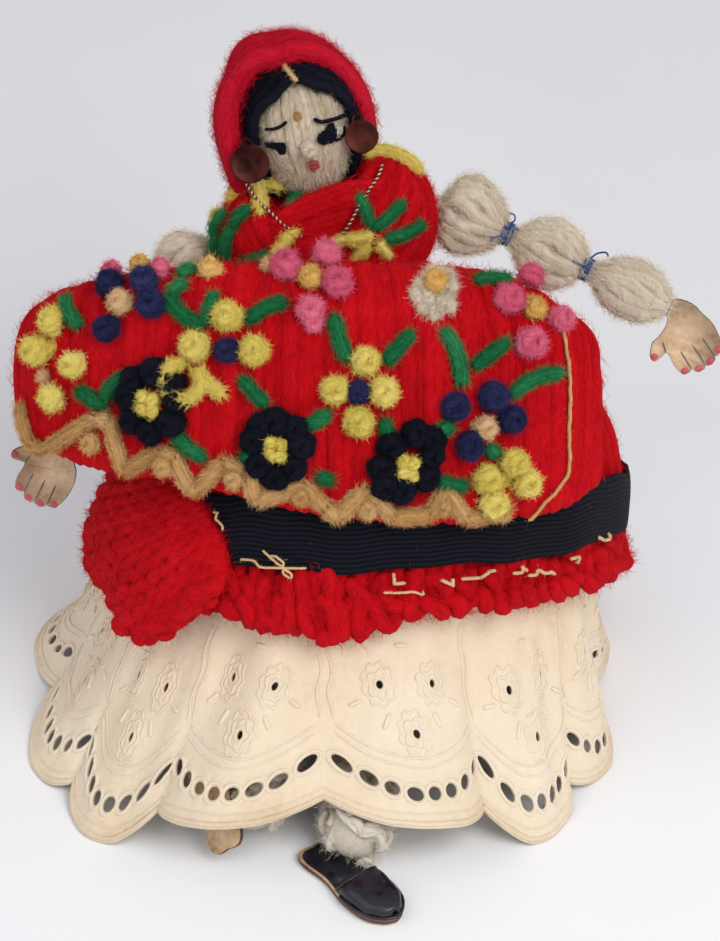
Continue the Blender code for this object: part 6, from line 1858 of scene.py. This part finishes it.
def eyelets():
    """Every hole: middle along and down the strip, half sizes, its slant, and whether it is one of the small ones."""
    holes = []
    for number in range(SCALLOPS):
        start = -STRIP_LENGTH / 2 + number * PITCH
        draw = np.random.default_rng(100 + number)
        for k in range(8):
            share = (k + 0.5) / 8
            lift = 4.1 + 2.9 * (1 - math.sin(math.pi * share) ** 0.8)
            holes.append((start + PITCH * share + draw.normal(0, 0.12), STRIP_DEPTH - lift + draw.normal(0, 0.15),
                          1.3 + draw.normal(0, 0.06), 0.86 + draw.normal(0, 0.06), (share - 0.5) * -0.9, False))
        for dx, up in ((-5.6, 18.0), (5.0, 18.2), (0.3, 11.6)):
            holes.append((start + PITCH / 2 + dx + draw.normal(0, 0.2), STRIP_DEPTH - up, 0.62, 0.58, 0.0, True))
    return holes


RIM = 0.75


def make_petticoat():
    """The strip is meshed flat round its holes, laid on the doll, and given its thickness and raised stitching."""
    holes = eyelets()
    half = STRIP_LENGTH / 2
    flat, edges = [], []

    def ring(points):
        first = len(flat)
        flat.extend(points)
        edges.extend((first + k, first + (k + 1) % len(points)) for k in range(len(points)))

    for along, down, wide, high, slant, small in holes:
        sides = 14 if small else 20
        for grow in (0.0, RIM * 0.45, RIM * 0.95, 2.1) if small else (0.0, RIM * 0.5, RIM):
            points = []
            for k in range(sides):
                angle = math.tau * k / sides
                x, y = (wide + grow) * math.cos(angle), (high + grow) * math.sin(angle)
                points.append((along + x * math.cos(slant) - y * math.sin(slant),
                               down + x * math.sin(slant) + y * math.cos(slant)))
            if grow == 0.0:
                ring(points)
            else:
                flat.extend(points)
    centres = np.array([hole[:2] for hole in holes])
    reach = np.array([(2.6 if small else wide + RIM + 0.35) for along, down, wide, high, slant, small in holes])
    columns, rows = 336, 44
    for k in range(columns + 1):
        along = -half + STRIP_LENGTH * k / columns
        for r in range(rows + 1):
            down = STRIP_DEPTH * r / rows
            if np.all(np.hypot(centres[:, 0] - along, centres[:, 1] - down) > reach) or k in (0, columns):
                flat.append((along, down))
    made = delaunay_2d_cdt([Vector(p) for p in flat], edges, [], 0, 1e-5)
    spots = np.array([tuple(p) for p in made[0]])
    triangles = np.array([f for f in made[2] if len(f) == 3])
    middle = spots[triangles].mean(1)
    inside = np.zeros(len(middle), bool)
    for along, down, wide, high, slant, small in holes:
        x, y = middle[:, 0] - along, middle[:, 1] - down
        u = (x * math.cos(slant) + y * math.sin(slant)) / wide
        v = (-x * math.sin(slant) + y * math.cos(slant)) / high
        inside |= u * u + v * v < 0.96
    triangles = triangles[~inside]
    along, down = spots[:, 0], spots[:, 1]
    raised = np.zeros(len(spots))
    tone = np.full(len(spots), 0.5)
    for hole_along, hole_down, wide, high, slant, small in holes:
        x, y = along - hole_along, down - hole_down
        u = (x * math.cos(slant) + y * math.sin(slant))
        v = (-x * math.sin(slant) + y * math.cos(slant))
        far = np.hypot(u / wide, v / high) * (wide + high) / 2 - (wide + high) / 2
        rim = np.exp(-((far - 0.35) / 0.33) ** 2)
        raised = np.maximum(raised, rim * (0.30 if small else 0.24))
        # Painted shade: the cloth darkens towards each hole's cut edge, and the hole's wall darkens with it.
        tone = np.minimum(tone, 0.5 - 0.22 * np.exp(-(far / 0.4) ** 2))
        if small:
            petal = np.exp(-((far - 1.7) / 0.45) ** 2) * (0.6 + 0.4 * np.cos(np.arctan2(v, u) * 5))
            raised = np.maximum(raised, petal * 0.2)
            tone = np.maximum(tone, 0.5 + 0.12 * petal)
    hem_far = STRIP_DEPTH - down
    border = np.exp(-((hem_far - 0.7) / 0.75) ** 4)
    raised = np.maximum(raised, border * 0.22)
    tone = tone - 0.14 * border + 0.03 * np.sin(along * 0.2)
    scallop_phase = (along / PITCH) % 1.0
    arc = 7.6 + 3.4 * (1 - np.sin(math.pi * scallop_phase) ** 0.8)
    raised += 0.10 * np.exp(-((hem_far - arc) / 0.3) ** 2)
    seam = np.exp(-((scallop_phase - 0.0) / 0.012) ** 2) + np.exp(-((scallop_phase - 1.0) / 0.012) ** 2)
    raised += 0.12 * seam * (hem_far > 9) * (0.7 + 0.3 * np.sin(down * 6))
    here = cloth_points(along, down)
    out = cloth_outward(along, down, here)
    front = here + out * (CLOTH / 2 + raised)[:, None]
    back = here - out * (CLOTH / 2)
    front[:, 2] = np.maximum(front[:, 2], CLOTH * 0.6 + 0.1)
    back[:, 2] = np.maximum(back[:, 2], 0.06)
    count = len(spots)
    directed = {}  # a dict, as it keeps the order
    for t in triangles:
        for a, b in ((t[0], t[1]), (t[1], t[2]), (t[2], t[0])):
            directed[(int(a), int(b))] = True
    open_edges = [(a, b) for a, b in directed if (b, a) not in directed]
    seam_ends = np.abs(np.abs(along) - half) < 1e-4
    faces = [tuple(int(i) for i in t) for t in triangles]
    faces += [tuple(int(i) + count for i in t[::-1]) for t in triangles]
    for a, b in open_edges:
        if not (seam_ends[a] and seam_ends[b]):
            faces.append((b, a, a + count, b + count))
    pile = Pile()
    # The inner face gets a tone 0.1 lower: painted shade inside the petticoat.
    pile.add(np.concatenate((front, back)), faces, tone=np.concatenate((tone, tone - 0.1)))
    shown = pile.make("petticoat_cloth", COTTON, "root", ["petticoat"])
    join = bmesh.new()
    join.from_mesh(shown.data)
    bmesh.ops.remove_doubles(join, verts=join.verts, dist=0.00002)
    bmesh.ops.recalc_face_normals(join, faces=join.faces)
    join.to_mesh(shown.data)
    join.free()


def on_cloth(along, down, lift):
    """Points a little above the cloth's outer face."""
    here = cloth_points(along, down)
    out = cloth_outward(along, down, here)
    placed = here + out * (CLOTH / 2 + lift)
    placed[:, 2] = np.maximum(placed[:, 2], 0.5)
    return placed, out


# Rings of stitching round an eyelet: how far out, the yarn's radius, and how deep and how many its lobes are.
SMALL_RINGS = ((0.32, 0.34, 0.0, 0), (1.25, 0.34, 0.34, 5), (2.35, 0.26, 0.3, 9))
LARGE_RINGS = ((0.36, 0.42, 0.0, 0),)
# Each leaf's place from the scallop's middle and up from the hem, and its slant.
LEAVES = ((-9.5, 15.0, 0.5), (9.5, 15.0, -0.5), (0.0, 23.5, 0.0), (-4.6, 13.0, 1.0), (4.8, 13.2, -1.0))


def make_stitching():
    """White embroidery: satin rims round the eyelets, petals round the small ones, arcs, and the bound hem."""
    pile = Pile()

    def line(along, down, radius, lift=0.08, tone=0.62, pitch=0.9, cut=0.28, closed=False):
        points, out = on_cloth(along, down, lift)
        pile.tube(points, radius, tone, sides=6, plies=2, pitch=pitch, cut=cut, normals=out, flat=0.7, closed=closed,
                  round_ends=not closed)

    for along, down, wide, high, slant, small in eyelets():
        a = np.linspace(0, math.tau, 41)[:-1]
        for grow, radius, lobe, lobes in SMALL_RINGS if small else LARGE_RINGS:
            reach = 1 + lobe * np.cos(a * lobes) / (grow + wide)
            x, y = (wide + grow) * reach * np.cos(a), (high + grow) * reach * np.sin(a)
            line(along + x * math.cos(slant) - y * math.sin(slant), down + x * math.sin(slant) + y * math.cos(slant),
                 radius, closed=True)
    for number in range(SCALLOPS):
        start = -STRIP_LENGTH / 2 + number * PITCH
        phase = np.linspace(0.04, 0.96, 60)
        for far in (7.3, 8.5):
            line(start + PITCH * phase, STRIP_DEPTH - far - 3.4 * (1 - np.sin(math.pi * phase) ** 0.8), 0.24)
        for aside in (-0.7, 0.7):
            down = np.linspace(STRIP_DEPTH - 26, STRIP_DEPTH - 12, 40)
            line(start + aside + 0.3 * np.sin(down * 0.9), down, 0.26)
        for x, up, turn in LEAVES:
            t = np.linspace(-1.3, 1.3, 9)
            line(start + PITCH / 2 + x + t * math.cos(turn), STRIP_DEPTH - up - t * math.sin(turn), 0.5)
    along = np.linspace(-STRIP_LENGTH / 2, STRIP_LENGTH / 2, 1300)
    line(along, np.full(len(along), STRIP_DEPTH - 0.55), 0.62, 0.0, 0.3, 0.8, 0.2)
    line(along, np.full(len(along), STRIP_DEPTH - 1.7), 0.24, 0.05, 0.45)
    pile.make("petticoat_stitching", COTTON, "root")


make_petticoat()
make_stitching()
# Loose sewing on the tape

# Each stitch's two ends. The first five are of the finer thread.
TACKS = (
    ((243, 555), (312, 569)), ((269, 547), (290, 575)), ((273, 549), (294, 573)), ((220, 508), (227, 526)),
    ((382, 589), (425, 587)), ((388, 572), (400, 581)), ((440, 578), (452, 578)), ((462, 575), (492, 570)),
    ((512, 567), (522, 568)), ((523, 573), (553, 569)), ((566, 557), (574, 558)), ((598, 540), (606, 534)),
)


def tape_spot(pixel):
    """The place on the tape or just under it that the camera shows at a pixel."""
    goal_x = (pixel[0] - MIDDLE_COLUMN) * PIXEL
    goal_v = (PICTURE_MIDDLE_ROW - pixel[1]) * PIXEL + PICTURE_MIDDLE_HEIGHT
    best, found = 1e9, None
    for angle in np.linspace(-1.35, 1.5, 90):
        for share in np.linspace(0.6, 1.0, 26):
            point = skirt_point(angle, share, 2.6, False)
            v = point.z * math.cos(CAMERA_ELEVATION) + point.y * math.sin(CAMERA_ELEVATION)
            far = (point.x - goal_x) ** 2 + (v - goal_v) ** 2
            if far < best:
                best, found = far, (point, angle, share)
    point, angle, share = found
    out = (skirt_point(angle, share, 3.6, False) - point).normalized()
    return np.array(tuple(point)), np.array(tuple(out))


def make_tacks():
    pile = Pile()
    for number, (start, end) in enumerate(TACKS):
        line = []
        for share in np.linspace(0, 1, 7):
            pixel = (start[0] + (end[0] - start[0]) * share,
                     start[1] + (end[1] - start[1]) * share + 2 * math.sin(share * 5 + number))
            point, out = tape_spot(pixel)
            line.append(point + out * (0.1 + 0.8 * math.sin(math.pi * share)))
        pile.tube(smooth_path(line, 30, 0.3), 0.26 if number < 5 else 0.36, rng.uniform(0.4, 0.8), sides=7,
                  pitch=1.6, cut=0.3, turn=number)
    pile.fuzz(120, 0.8, width=0.04, seed=81)
    pile.make("tape_tacking", PEACH, "root")


make_tacks()
# Wire parts get the steel finish

for made in bpy.context.scene.objects:
    if made.type == "MESH" and "wire" in made.name:
        for place in made.material_slots:
            place.material = STEEL
